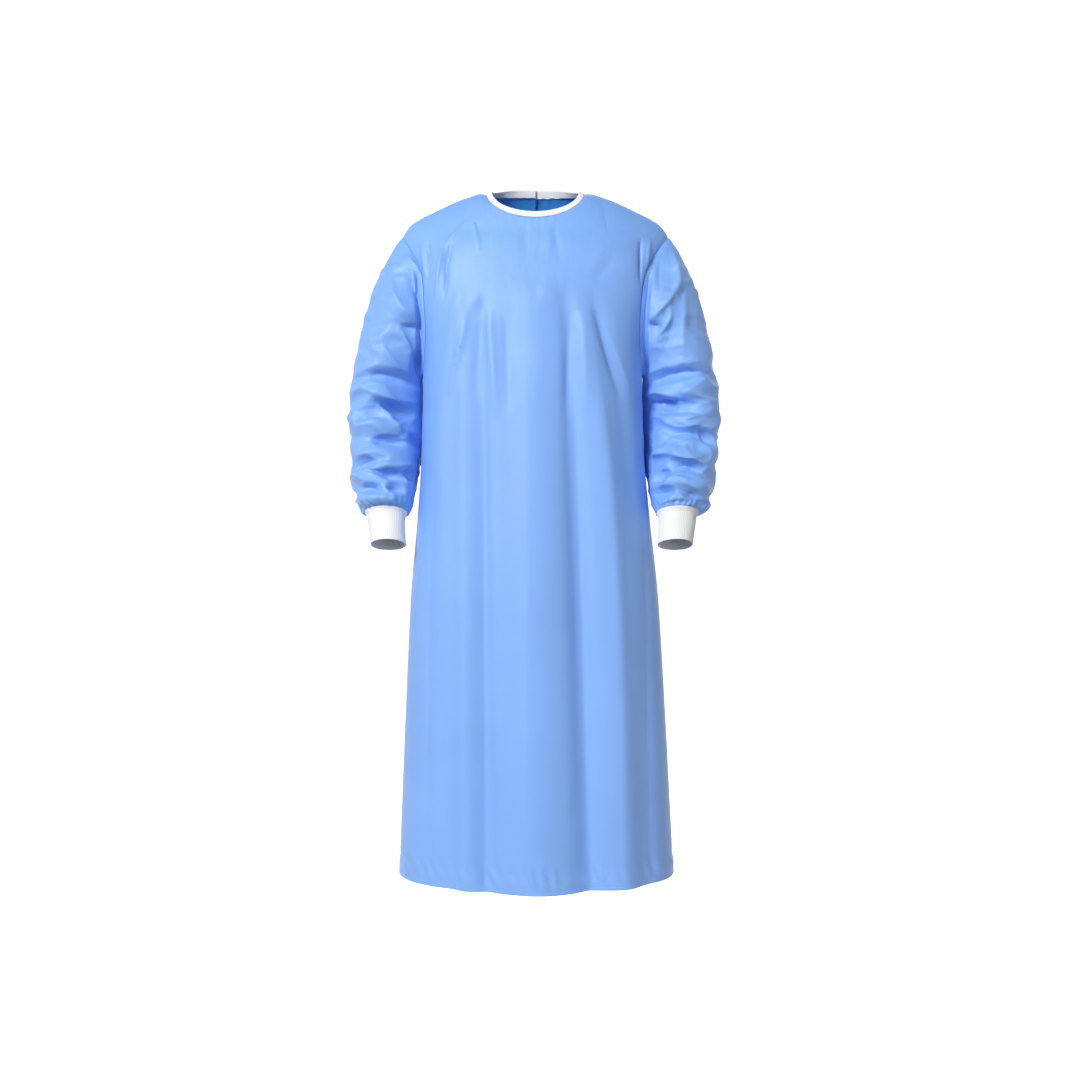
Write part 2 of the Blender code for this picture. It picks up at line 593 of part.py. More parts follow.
def cast(tree, angle, z):
    """Where a level line from the middle of the gown meets a panel, at an angle from the centre back."""
    place, _, _, _ = tree.ray_cast((0.0, 0.0, z), (np.sin(angle), np.cos(angle), 0.0))
    return np.array(place)


def over_panel(tree, angle, z, height):
    """A point a height above a panel, along the normal of its stretch around the point."""
    around = cast(tree, angle + TAPE_NUDGE, z) - cast(tree, angle - TAPE_NUDGE, z)
    upward = cast(tree, angle, z + TAPE_RISE) - cast(tree, angle, z - TAPE_RISE)
    normal = np.cross(around, upward)
    normal /= np.linalg.norm(normal)
    return cast(tree, angle, z) + normal * height * np.sign(normal[1])


def make_tape(name, tree, start, stop, low, high, z, width, material):
    """A flat tape along the back between two angles, rising from one height over the panel to another."""
    share = np.linspace(0.0, 1.0, TIE_COLUMNS + 1)
    heights = low + (high - low) * ease(TIE_RISE[0], TIE_RISE[1], share)
    sheet = np.array([[over_panel(tree, -(start + (stop - start) * part), z + half, height)
                       for part, height in zip(share, heights)] for half in (width / 2, -width / 2)])
    normals = sheet_normals(sheet, False, sheet * np.array((1.0, 1.0, 0.0)))
    points, triangles = wall_mesh(sheet, normals, TAPE_THICKNESS, False)
    add_object(name, points, triangles, material)


def make_knot(name, tree, knot_angle, z, width, tail, radius, material):
    """A knot: a block whose underside is drawn down at each side into a hanging end of tape."""
    mesh = bmesh.new()

    def corner(across, level, height):
        return mesh.verts.new(over_panel(tree, knot_angle + across / radius, level, height))

    places = (-KNOT_HALF_LENGTH, -KNOT_MIDDLE, KNOT_MIDDLE, KNOT_HALF_LENGTH)
    near, far = KNOT_CLEARANCE - KNOT_THICKNESS / 2, KNOT_CLEARANCE + KNOT_THICKNESS / 2
    levels = (z + KNOT_HALF_HEIGHT, z - KNOT_HALF_HEIGHT)
    block = [[[corner(across, level, height) for across in places] for level in levels]
             for height in (near, far)]
    (near_top, near_low), (far_top, far_low) = block
    for one, two in ((0, 1), (1, 2), (2, 3)):
        mesh.faces.new((near_top[one], near_low[one], near_low[two], near_top[two]))
        mesh.faces.new((far_top[one], far_top[two], far_low[two], far_low[one]))
        mesh.faces.new((near_top[one], near_top[two], far_top[two], far_top[one]))
    mesh.faces.new((near_low[1], near_low[2], far_low[2], far_low[1]))
    for end in (0, -1):
        mesh.faces.new((near_top[end], near_low[end], far_low[end], far_top[end]))
    for side, one, two in ((-1.0, 0, 1), (1.0, 2, 3)):
        ring = [near_low[one], near_low[two], far_low[two], far_low[one]]
        length = tail * (RIGHT_TAIL_SHARE if side > 0.0 else 1.0)
        for drop, offset, share, thickness, height in TAIL_SECTIONS:
            level = z - KNOT_HALF_HEIGHT - drop * length
            low, high = side * offset - share * width / 2, side * offset + share * width / 2
            below = [corner(low, level, height - thickness / 2), corner(high, level, height - thickness / 2),
                     corner(high, level, height + thickness / 2), corner(low, level, height + thickness / 2)]
            for index in range(4):
                after = (index + 1) % 4
                mesh.faces.new((ring[index], ring[after], below[after], below[index]))
            ring = below
        mesh.faces.new(ring)
    bmesh.ops.triangulate(mesh, faces=mesh.faces[:])
    bmesh.ops.recalc_face_normals(mesh, faces=mesh.faces[:])
    mesh.verts.index_update()
    points = np.array([vertex.co for vertex in mesh.verts])
    triangles = np.array([[vertex.index for vertex in face.verts] for face in mesh.faces])
    mesh.free()
    add_object(name, points, triangles, material)


def make_tie(label, z, width, tail, left_height, right_height, left_end, knot_at, right_end, tree, material):
    """Two tapes that meet in a knot, and the knot with its hanging ends."""
    knot_angle = np.radians(knot_at)
    radius = float(np.linalg.norm(over_panel(tree, -knot_angle, z, KNOT_CLEARANCE)[:2]))
    knot_half = (KNOT_HALF_LENGTH + TIE_GAP) / radius
    make_tape(label + "_tie_left", tree, np.radians(left_end), knot_angle - knot_half,
              left_height, KNOT_CLEARANCE, z, width, material)
    make_tape(label + "_tie_right", tree, np.radians(right_end), knot_angle + knot_half,
              right_height, KNOT_CLEARANCE, z, width, material)
    make_knot(label + "_knot", tree, -knot_angle, z, width, tail, radius, material)


def make_piece(name, sheet, thickness, seams, material, closed=False, outward=None):
    """A piece of cloth before its wall is made: its sheet, its normals and the edges that are sewn."""
    if outward is None:
        outward = sheet * np.array((1.0, 1.0, 0.0))
    return {"name": name, "sheet": sheet, "thickness": thickness, "seams": seams, "material": material,
            "closed": closed, "normals": sheet_normals(sheet, closed, outward)}


def make_binding(pieces, material):
    """The neck binding: it runs from the free edge of the right back round the front to that of the left."""
    front, back_left, back_right = (piece for piece in pieces if piece["name"] in PANELS)
    last = NECK_COLUMNS + OVERLAP_COLUMNS
    middle = front["sheet"].shape[1] // 2
    around = slice(middle - NECK_COLUMNS + 1, middle + NECK_COLUMNS)
    edge, normals = (np.concatenate((back_right[key][0, :NECK_COLUMNS + 1], front[key][0, around],
                                     back_left[key][0, last::-1])) for key in ("sheet", "wall_normals"))
    binding = make_piece("neck_binding", binding_sheet(edge, normals), BINDING_WALL, (), material)
    binding["wall_normals"] = binding["directions"] = binding["normals"]
    return binding


def clear_scene():
    """Take every object out of the scene."""
    for thing in list(bpy.data.objects):
        bpy.data.objects.remove(thing, do_unlink=True)


def build():
    """Make every piece of the gown."""
    clear_scene()
    cloth = make_material("blue_cloth", BLUE_CLOTH)
    knit = make_material("white_knit", WHITE_KNIT)
    tape = make_material("white_tape", WHITE_TAPE)

    front_left = half_panel(False, 1.0)
    front_right = half_panel(False, -1.0)
    front = np.concatenate((front_right[:, ::-1], front_left[:, 1:]), axis=1)
    back_left = half_panel(True, 1.0, True, LAYER_OFFSET, LEFT_LAYER_RAMP)
    back_right = half_panel(True, -1.0, False, -LAYER_OFFSET, RIGHT_LAYER_RAMP)
    pieces = [make_piece("front", front, CLOTH_WALL, ("top", "first", "last"), cloth),
              make_piece("back_left", back_left, CLOTH_WALL, ("top", "last"), cloth),
              make_piece("back_right", back_right, CLOTH_WALL, ("top", "last"), cloth)]

    for side_name, side, panel_front, panel_back, forearm, folds in (
            ("left", 1.0, front_left, back_left, LEFT_FOREARM, LEFT_SLEEVE_FOLDS),
            ("right", -1.0, front_right, back_right, RIGHT_FOREARM, RIGHT_SLEEVE_FOLDS)):
        armhole = np.concatenate((panel_front[:ARMHOLE_ROWS + 1, -1], panel_back[ARMHOLE_ROWS - 1:0:-1, -1]))
        sleeve = sleeve_sheet(armhole, forearm, folds, side)
        cuff = cuff_sheet(sleeve[-1], side)
        for name, sheet, thickness, seams, material in (
                ("sleeve_" + side_name, sleeve, CLOTH_WALL, ("top", "bottom"), cloth),
                ("cuff_" + side_name, cuff, CUFF_WALL, ("top",), knit)):
            outward = sheet - sheet.mean(axis=1, keepdims=True)
            pieces.append(make_piece(name, sheet, thickness, seams, material, True, outward))

    share_seam_normals(pieces)
    pieces.append(make_binding(pieces, tape))
    for piece in pieces:
        set_back(piece)
        points, triangles = wall_mesh(piece["sheet"], piece["wall_normals"],
                                      piece["thickness"], piece["closed"])
        add_object(piece["name"], points, triangles, piece["material"])

    tree = sheet_tree(pieces[2])
    for tie in TIES:
        make_tie(*tie, tree, tape)


build()
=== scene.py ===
"""Surgical gown in its worn form: blue cloth, white knit cuffs, a white neck binding and tie tapes.

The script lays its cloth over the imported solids: the same sheets worked out again on a fine grid, with
the main folds and creases of the cloth set out in tables. Front faces -Y, up is +Z, +X is the wearer's left.
"""
import math

import bpy
import numpy as np
from bpy.props import FloatProperty, FloatVectorProperty, IntProperty, PointerProperty
from bpy.types import Operator, Panel, PropertyGroup
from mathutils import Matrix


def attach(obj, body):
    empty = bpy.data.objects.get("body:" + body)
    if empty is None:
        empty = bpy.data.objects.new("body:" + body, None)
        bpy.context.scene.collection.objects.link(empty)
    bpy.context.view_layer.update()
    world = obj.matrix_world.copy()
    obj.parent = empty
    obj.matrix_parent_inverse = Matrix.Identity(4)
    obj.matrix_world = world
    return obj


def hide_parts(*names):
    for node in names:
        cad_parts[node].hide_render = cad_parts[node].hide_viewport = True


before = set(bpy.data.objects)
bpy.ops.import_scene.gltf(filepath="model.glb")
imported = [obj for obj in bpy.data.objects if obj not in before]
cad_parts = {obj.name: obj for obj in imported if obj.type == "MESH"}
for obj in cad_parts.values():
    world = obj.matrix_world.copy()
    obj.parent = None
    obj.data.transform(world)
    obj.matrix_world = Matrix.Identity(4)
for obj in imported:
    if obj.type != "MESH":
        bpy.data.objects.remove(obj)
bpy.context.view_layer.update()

bl_info = {
    "name": "Surgical gown",
    "version": (1, 0, 0),
    "blender": (4, 5, 0),
    "location": "3D View > Sidebar > Gown",
    "description": "Builds a surgical gown in its worn form from cloth sheets",
    "category": "Object",
}


def metres(rows):
    """A table stated in millimetres, turned into metres."""
    return tuple(tuple(value / 1000 for value in row) for row in rows)


# Body of the gown: height, half width, front depth, back depth, shift to the wearer's left
BODY_RINGS = metres((
    (30, 274, 70, 112, 0),
    (-70, 250, 82, 110, 0),
    (-100, 234, 92, 109, -1),
    (-141, 219, 104, 108, -3),
    (-200, 204, 117, 106, -5),
    (-270, 191.5, 123, 104, -5),
    (-315, 190, 125, 102, -5),
    (-456, 193.4, 127, 102, -4.5),
    (-561, 201.3, 131, 107, -3),
    (-700, 214.5, 138, 116, -1.5),
    (-897, 224.9, 148, 130, 0),
    (-1065, 232.8, 158, 142, 1),
    (-1200, 239, 166, 150, 2),
))
RING_POWER = 2.5
HEM_SIDE = -1.177
HEM_FRONT_DIP = 0.008

# Neck and shoulders: the neck's edge, the ridge of the shoulder seam and the round of the depth under it
NECK_HALF_WIDTH = 0.085
NECK_SIDE = 0.001
NECK_FRONT_DROP = 0.0545
NECK_BACK_RISE = 0.009
NECK_RIDGE = 0.034
NECK_RIDGE_POWER = 0.65
SHOULDER_ROUNDING = 0.14
# Shoulder seam: distance from the centre, height
SHOULDER = (
    (0.085, 0.001),
    (0.120, -0.0105),
    (0.160, -0.0275),
    (0.200, -0.0455),
    (0.215, -0.0545),
    (0.232, -0.0740),
    (0.262, -0.1150),
)

# Armhole: height, distance from the centre as a share of the half width there
ARMHOLE_TOP_X = 0.232
ARMHOLE_BOTTOM = -0.315
ARMHOLE = (
    (-0.074, 0.934),
    (-0.100, 0.919),
    (-0.141, 0.881),
    (-0.200, 0.907),
    (-0.270, 0.963),
    (-0.315, 1.000),
)

# How the columns of a panel fan out from the neck, join the lower ones and give way to the armhole
NECK_FAN = 0.24
NECK_FAN_POWER = 3
LOWER_NECK_SHARE = 0.56
SHARE_FADE = (0.10, 0.60)
NECK_FADE = 0.30
NECK_FADE_POWER = 0.25
ARMHOLE_PULL = 4

# Back opening: the left back lies over the right back
OVERLAP_SHARE = 0.30
OVERLAP_NECK_SHARE = 0.28
LAYER_OFFSET = 0.0025
LEFT_LAYER_RAMP = (0.05, 0.45)
RIGHT_LAYER_RAMP = (0.32, 0.50)

# Long folds of the front: heights and distances from the centre at start, middle and end,
# height of the fold at start and end, its half width at start and end
FRONT_FOLDS = metres((
    (-180, 0, -600, 12, -1190, 10, 4, 10, 30, 42),
    (-200, -88, -500, -86, -1190, -82, -5, -8.5, 12, 22),
    (-190, -118, -400, -116, -1190, -116, 3.5, 4.5, 10, 18),
    (-190, -125, -300, -141, -520, -168, 5, 2, 12, 18),
    (-560, -148, -800, -150, -1190, -148, -1, -7, 20, 26),
    (-200, 58, -600, 74, -1190, 95, -6, -12.5, 13, 30),
    (-230, 90, -586, 132, -1190, 150, 5, 7, 15, 24),
    (-200, 105, -341, 146, -620, 180, -6, -3, 12, 18),
    (-600, 180, -850, 186, -1190, 188, -1, -6, 18, 24),
))
BACK_FOLDS = metres((
    (-560, 60, -800, 65, -1190, 70, 1, 9, 26, 36),
    (-300, 112, -700, 120, -1190, 128, -4, -8, 18, 26),
    (-520, -130, -800, -132, -1190, -138, -2, -8, 18, 26),
    (-600, -10, -900, -12, -1190, -14, -1, -6, 24, 34),
))
FOLD_END = 0.06

# Creases as seen along Y: places x and z at start, middle and end, height, half width left and right of
# the run
CHEST_CREASES = metres((
    (-116, -56, -136, -80, -152, -103, 3.6, 4.3, 2.5),
    (-144, -97, -147, -119, -148, -136, -4.8, 3.7, 2.5),
    (-108, -61, -100, -81, -96, -119, 3, 2.5, 2.5),
    (-101, -59, -99, -73, -98, -88, -1.8, 2.5, 2.5),
    (-157, -109, -161, -132, -169, -194, 4.8, 3.1, 6.2),
    (-153, -115, -151, -153, -155, -194, -4.8, 3.7, 2.5),
    (-197, -86, -191, -119, -188, -153, 3.6, 3.1, 3.7),
    (-184, -90, -182, -119, -184, -163, -4.1, 2.5, 1.9),
    (33, -62, 36, -98, 44, -139, -1.7, 4.3, 5.6),
    (22, -64, 24, -98, 21, -132, 1, 5, 6.2),
    (-17, -68, -17, -95, -15, -126, -1.8, 7.4, 7.4),
    (137, -119, 116, -146, 98, -170, -2, 7.4, 7.4),
    (123, -105, 106, -129, 89, -153, 1.3, 6.2, 7.4),
    (182, -85, 181, -119, 180, -170, -7.1, 1.9, 5),
    (196, -85, 192, -115, 187, -156, 4.8, 3.7, 3.1),
    (-114, -218, -127, -286, -145, -358, 5, 3, 6.7),
    (-78, -214, -73, -286, -66, -399, 5, 5.3, 4.5),
    (-90, -235, -95, -296, -100, -375, -2.9, 5.3, 6.7),
    (-49, -228, -45, -296, -44, -392, -2.9, 6.7, 6.7),
    (60, -216, 56, -286, 52, -395, -5, 7.5, 4.5),
    (77, -221, 82, -289, 87, -392, 4.3, 6.7, 6.7),
    (101, -214, 118, -283, 144, -364, -4.2, 11, 6),
    (114, -235, 137, -289, 162, -351, 2.9, 9, 7.5),
    (-112, -197, -100, -202, -88, -204, 3.6, 12.4, 12.4),
    (4, -180, 22, -187, 41, -197, 3, 14.9, 14.9),
    (63, -290, 79, -750, 100, -1500, -8, 15, 17),
    (-87, -300, -83, -800, -81, -1500, -4.5, 10, 12),
    (108, -340, 140, -750, 152, -1400, 4, 16, 20),
    (-50, -220, -49, -310, -47, -400, -1.8, 7, 7),
    (184, -480, 190, -820, 194, -1300, -2.8, 16, 16),
    (-16, -280, -12, -750, -14, -1500, 7, 40, 40),
    (-172, -480, -180, -800, -184, -1300, -4, 14, 14),
))
RIGHT_SLEEVE_CREASES = metres((
    (-222, -133, -211, -167, -196, -197, -8.8, 3, 9.1),
    (-223, -109, -207, -131, -191, -151, 5.3, 4, 5),
    (-249, -127, -238, -187, -203, -231, 7, 7, 12.1),
    (-232, -237, -211, -239, -192, -238, -8.8, 3, 8.1),
    (-232, -238, -221, -260, -210, -283, 6.2, 4, 7),
    (-210, -278, -203, -302, -195, -334, -10.5, 10.1, 4),
    (-261, -243, -252, -284, -212, -323, 5.3, 6.1, 11.1),
    (-283, -235, -281, -258, -272, -282, 2.7, 8.1, 10.1),
    (-285, -329, -258, -322, -195, -339, -8, 7, 5),
    (-310, -338, -255, -355, -193, -367, 8, 7, 6.1),
    (-267, -368, -241, -376, -211, -388, -14, 4, 12.1),
    (-267, -370, -249, -394, -230, -418, 8, 6.1, 8.1),
    (-310, -400, -284, -388, -258, -395, -6.2, 6.1, 5),
    (-309, -414, -281, -400, -247, -412, 6.2, 6.1, 12.1),
    (-222, -420, -207, -430, -193, -444, -10.5, 6.1, 10.1),
    (-276, -441, -253, -436, -230, -443, -4.5, 5, 4),
    (-293, -449, -251, -474, -207, -470, 8, 6.1, 6.1),
    (-309, -490, -283, -470, -253, -474, -6.2, 6.1, 4),
    (-307, -498, -279, -482, -247, -488, 5.3, 6.1, 10.1),
    (-275, -493, -248, -492, -222, -504, -7, 4, 6.1),
    (-229, -485, -217, -494, -205, -506, -8.8, 6.1, 8.1),
    (-297, -522, -278, -516, -254, -527, -6.2, 6.1, 4),
    (-252, -517, -238, -516, -222, -525, -7, 5, 4),
    (-303, -537, -267, -530, -227, -535, 4.5, 8.1, 10.1),
))
LEFT_SLEEVE_CREASES = metres((
    (236, -103, 243, -145, 233, -183, 8.8, 6.1, 6.1),
    (236, -173, 221, -202, 190, -231, 8, 6.1, 7),
    (251, -129, 245, -159, 236, -189, 4.5, 6.1, 5),
    (214, -119, 213, -147, 211, -179, -5.3, 11.1, 11.1),
    (227, -207, 227, -231, 205, -258, 6.2, 5, 5),
    (191, -235, 203, -237, 215, -243, -8.8, 4, 8.1),
    (259, -153, 253, -219, 250, -286, 4.5, 10.1, 6.1),
    (237, -213, 227, -258, 217, -298, -5, 10.1, 12.1),
    (184, -339, 236, -320, 303, -317, -8, 6.1, 6.1),
    (303, -319, 276, -338, 248, -352, 8, 9.1, 4),
    (180, -353, 210, -349, 242, -359, 8, 6.1, 5),
    (183, -369, 214, -365, 247, -372, -14, 3, 13.1),
    (218, -392, 252, -379, 295, -394, -5.3, 5, 4),
    (217, -394, 252, -410, 294, -394, 6.2, 5, 5),
    (270, -408, 291, -424, 310, -440, -8.8, 8.1, 12.1),
    (222, -435, 260, -419, 298, -449, -5.3, 5, 4),
    (221, -438, 258, -462, 296, -453, 6.2, 6.1, 5),
    (191, -466, 220, -455, 260, -466, 8, 6.1, 5),
    (191, -442, 198, -452, 204, -462, -7, 6.1, 6.1),
    (231, -484, 263, -479, 292, -499, -6.2, 5, 5),
    (200, -505, 215, -496, 232, -493, -11.5, 7, 9.1),
    (211, -517, 236, -502, 261, -506, 6.2, 5, 6.1),
    (237, -518, 267, -528, 297, -545, -7, 6.1, 8.1),
    (196, -533, 220, -522, 240, -526, -5.3, 5, 5),
))
BACK_CREASES = metres((
    (-64, -45, -88, -110, -94, -250, -4, 20, 20),
    (75, -60, 90, -120, 120, -200, 4.5, 8, 10),
    (110, -80, 130, -150, 140, -260, -5.3, 8, 8),
    (-120, -90, -140, -160, -145, -270, -5.3, 8, 8),
    (-90, -250, -80, -420, -90, -700, -4.5, 12, 14),
    (60, -240, 80, -400, 85, -620, 4.5, 12, 14),
    (-158, -450, -128, -462, -104, -464, -3.2, 8, 12),
    (-10, -426, 50, -438, 125, -478, -3.4, 8, 14),
    (-165, -372, -136, -392, -110, -404, 2.6, 10, 10),
    (-15, -404, 45, -390, 120, -350, 2.8, 12, 10),
))

# Sleeves below the elbow: height, inner edge, outer edge, front edge, back edge, forward tilt in degrees,
# slant of the ring as the step outwards for a step forwards
RIGHT_FOREARM = (
    (-0.380, 0.1962, 0.3200, -0.060, 0.0880, 0.0, 0.26),
    (-0.430, 0.1990, 0.3190, -0.067, 0.0760, 3.0, 0.22),
    (-0.480, 0.2040, 0.3160, -0.078, 0.0560, 8.0, 0.12),
    (-0.520, 0.2085, 0.3125, -0.088, 0.0360, 13.0, 0.03),
    (-0.545, 0.2140, 0.3065, -0.0945, 0.0140, 17.0, 0.00),
    (-0.556, 0.2205, 0.2915, -0.0880, -0.0170, 19.0, 0.00),
)
LEFT_FOREARM = (
    (-0.380, 0.1874, 0.3165, -0.060, 0.0880, 0.0, 0.26),
    (-0.430, 0.1900, 0.3165, -0.067, 0.0760, 3.0, 0.22),
    (-0.480, 0.1942, 0.3105, -0.078, 0.0560, 8.0, 0.12),
    (-0.520, 0.1975, 0.3060, -0.088, 0.0360, 13.0, 0.03),
    (-0.545, 0.2030, 0.2985, -0.0945, 0.0140, 17.0, 0.00),
    (-0.556, 0.2085, 0.2795, -0.0880, -0.0170, 19.0, 0.00),
)
ELBOW = -0.380
# Start of the sleeve at the armhole: turn from the top by the front, reach outwards, forwards, up, length
SLEEVE_START = (
    (0.00, 0.62, 0.00, -0.78, 0.250),
    (0.25, 0.80, 0.30, -0.45, 0.190),
    (0.50, 0.90, 0.35, -0.10, 0.140),
    (0.75, 0.93, 0.22, 0.12, 0.080),
    (1.00, 0.95, 0.00, 0.25, 0.028),
)
# End of the upper sleeve at the elbow: turn, length of the run straight down into the forearm
ELBOW_RUN = (
    (0.0, 0.300),
    (0.5, 0.240),
    (1.0, 0.080),
)

# Sleeve folds: height, turn (0 outside, 0.5 front, 1 inside, 1.5 back), half length in turns,
# slope in metres a turn, height of the fold, its half width
RIGHT_SLEEVE_FOLDS = (
    (-0.205, 0.45, 0.30, -0.090, 0.0040, 0.014),
    (-0.270, 0.35, 0.25, 0.020, -0.0035, 0.012),
    (-0.325, 0.50, 0.32, -0.020, -0.0045, 0.009),
    (-0.348, 0.45, 0.34, -0.012, 0.0045, 0.010),
    (-0.374, 0.62, 0.26, -0.010, -0.0065, 0.010),
    (-0.395, 0.30, 0.34, -0.045, 0.0060, 0.011),
    (-0.431, 0.50, 0.34, -0.015, -0.0055, 0.011),
    (-0.458, 0.58, 0.28, -0.020, 0.0045, 0.010),
    (-0.462, 0.05, 0.20, 0.010, -0.0035, 0.011),
    (-0.487, 0.58, 0.30, -0.015, -0.0055, 0.009),
    (-0.500, 0.12, 0.26, 0.015, 0.0045, 0.010),
    (-0.521, 0.20, 0.22, 0.000, -0.0040, 0.007),
    (-0.350, 1.45, 0.30, 0.020, -0.0050, 0.012),
    (-0.400, 1.50, 0.34, -0.015, 0.0050, 0.013),
    (-0.445, 1.48, 0.32, 0.020, -0.0055, 0.012),
    (-0.492, 1.55, 0.30, 0.010, 0.0045, 0.012),
)
LEFT_SLEEVE_FOLDS = (
    (-0.185, 0.50, 0.26, -0.110, 0.0045, 0.014),
    (-0.250, 0.55, 0.22, -0.050, -0.0035, 0.013),
    (-0.320, 0.45, 0.34, -0.015, -0.0045, 0.009),
    (-0.345, 0.45, 0.34, -0.030, 0.0050, 0.010),
    (-0.370, 0.66, 0.24, -0.015, -0.0070, 0.010),
    (-0.392, 0.40, 0.32, 0.010, 0.0055, 0.011),
    (-0.424, 0.28, 0.26, -0.030, -0.0055, 0.012),
    (-0.455, 0.58, 0.34, 0.020, 0.0050, 0.010),
    (-0.473, 0.05, 0.20, 0.010, -0.0040, 0.009),
    (-0.485, 0.66, 0.26, -0.012, -0.0060, 0.009),
    (-0.508, 0.50, 0.34, 0.005, 0.0045, 0.009),
    (-0.528, 0.30, 0.24, 0.000, -0.0035, 0.007),
    (-0.345, 1.52, 0.32, -0.015, -0.0050, 0.012),
    (-0.396, 1.46, 0.34, 0.020, 0.0050, 0.013),
    (-0.440, 1.54, 0.30, -0.020, -0.0055, 0.012),
    (-0.488, 1.48, 0.30, -0.010, 0.0045, 0.012),
)
FOLD_FREE_WIDTH = 0.24

# Knit cuffs: distance below the sleeve seam, radius
CUFF_PROFILE = (
    (0.000, 0.0355),
    (0.009, 0.0318),
    (0.026, 0.0305),
    (0.058, 0.0288),
)
CUFF_TILT = 19.0
CUFF_LEAN = 5.5

# Neck binding
BINDING_HEIGHT = 0.011
BINDING_LEAN = 0.30
NECK_MIDDLE = np.array((0.0, -0.005, 0.0))

# Tie tapes on the back: name part, height, width, length of the hanging ends, heights of the left and
# right tapes over the right back, then the angles from the centre back of the left end, knot and right end
# in degrees
TAPE_THICKNESS = 0.0012
TIES = (
    ("neck", -0.032, 0.012, 0.180, 0.0078, 0.0030, 6.0, 36.0, 52.0),
    ("waist", -0.420, 0.014, 0.240, 0.0074, 0.0022, 16.0, 42.0, 62.0),
)
TIE_RISE = (0.35, 1.0)
# Knot: half length, half height, thickness, height of its middle over the plain back
KNOT_HALF_LENGTH = 0.009
KNOT_HALF_HEIGHT = 0.0065
KNOT_THICKNESS = 0.0060
KNOT_CLEARANCE = 0.0062
# Hanging ends: distance below the knot as a share, distance from its middle, share of full width, thickness,
# height over the plain back
TAIL_SECTIONS = (
    (0.03, 0.0070, 0.75, 0.0030, 0.0055),
    (0.07, 0.0088, 1.00, 0.0014, 0.0048),
    (0.20, 0.0100, 1.00, 0.0012, 0.0042),
    (0.35, 0.0125, 1.00, 0.0012, 0.0038),
    (0.50, 0.0140, 1.00, 0.0012, 0.0034),
    (0.65, 0.0150, 1.00, 0.0012, 0.0032),
    (0.80, 0.0155, 1.00, 0.0012, 0.0032),
    (1.00, 0.0155, 1.00, 0.0012, 0.0032),
)
RIGHT_TAIL_SHARE = 0.90

# Creases: power of the bell, taper to the ends, roundness of the crest, half widths between which they fade
CREASE_POWER = 1.2
CREASE_TAPER = 0.75
CREST = 0.0006
CREASE_FADE = (1.6, 3.5)
PATH_STEPS = 22
PATH_SMOOTHING = 5
FACING_LEAST = 0.05
# The back of a sleeve takes the other sleeve's creases, lower by the shift and flatter by the share
BACK_SHIFT = 0.009
BACK_SHARE = 0.85
# Small creases scattered over a sleeve: count, range across, of heights, length, size and half width, then
# the spread of their slope and bend
SMALL_COUNT = 64
SMALL_ACROSS = (0.215, 0.300)
SMALL_HEIGHTS = (-0.54, -0.12)
SMALL_LENGTH = (0.02, 0.06)
SMALL_SIZE = (0.0008, 0.0024)
SMALL_WIDTH = (0.003, 0.006)
SMALL_SLOPE = 0.45
SMALL_BEND = 0.12
# Pockets of the sleeves between their sharp creases: height, depth, half height of a pocket
POCKETS = (
    (-0.10, 0.0010, 0.0240),
    (-0.22, 0.0024, 0.0200),
    (-0.30, 0.0050, 0.0150),
    (-0.44, 0.0080, 0.0130),
    (-0.52, 0.0066, 0.0105),
    (-0.56, 0.0040, 0.0085),
)
# Drawn pockets: highest and lowest level, range of half length, spacing in half lengths round the arm and
# in half heights down it, shake as a share of each, spread of slope, half heights that keep one clear of a
# stated pocket
POCKET_LEVELS = (-0.12, -0.56)
POCKET_LENGTH = (0.024, 0.040)
POCKET_SPACING = (2.4, 1.75)
POCKET_SHAKE = (0.25, 0.45)
POCKET_SLOPE = 0.28
POCKET_CLEAR = 1.5
# Largest squared distance that counts, share of the depth below the sheet, distance over which pockets start
POCKET_LIMIT = 1.25
POCKET_BASE = 0.55
POCKET_START = 0.03
# Pocket in a stated trough: half length as a share of the run, and the least
SEED_LENGTH = (0.6, 0.018)
ARM_ROUND = 0.37

# Puckers over the hem: length, slope in turns of phase, height they reach over, height, sway and its rate,
# then rate, phase, middle and least of the sine by which they come and go
PUCKER_WIDTH = 0.022
PUCKER_SLOPE = 120.0
PUCKER_RISE = 0.012
PUCKER_HEIGHT = 0.0021
PUCKER_SWAY = (1.7, 37.0)
PUCKER_PATCHES = (61.0, 0.8, 0.9, 0.3)
# Hem: depth, step and its half width, groove's depth, width and distance below the stitch line
HEM_DEPTH = 0.028
HEM_STEP = (0.0005, 0.001)
HEM_GROOVE = (0.0004, 0.0015, 0.002)
# Puckers under the neck binding: height, length, reach, sway and its rate, then the steady share, the
# share that comes and goes, its rate and phase
NECK_PUCKERS = (0.0006, 0.014, 0.014, 1.5, 90.0)
NECK_PATCHES = (0.6, 0.4, 61.0, 1.0)
# Panel seams: distance over which creases are held, depth and width of the roll at the seam
PANEL_HOLD = 0.007
PANEL_ROLL = (0.0012, 0.0022)

# Sleeve ends: distance from the armhole and from the cuff over which folds start, the same for creases,
# then the share of the creases left on the side next to the body
SLEEVE_FOLD_ENDS = (0.045, 0.020)
SLEEVE_HOLD = (0.006, 0.010)
SLEEVE_INNER_SHARE = 0.12
# Gathers over the cuff: height, number of half turns, sway and its rate, steady share, share that comes
# and goes, its rate and phase, their distance from the cuff and width, then the share of the free side
# where they start
GATHER_HEIGHT = 0.0016
GATHER_WAVES = (23.0, 1.3, 5.0)
GATHER_PATCHES = (0.65, 0.35, 7.0, 1.0)
GATHER_PLACE = (0.006, 0.013)
GATHER_FREE = 0.1
# Rolled seams: depth and width at the armhole, depth and width at the cuff
SLEEVE_ROLLS = (0.0008, 0.0018, 0.0010, 0.002)
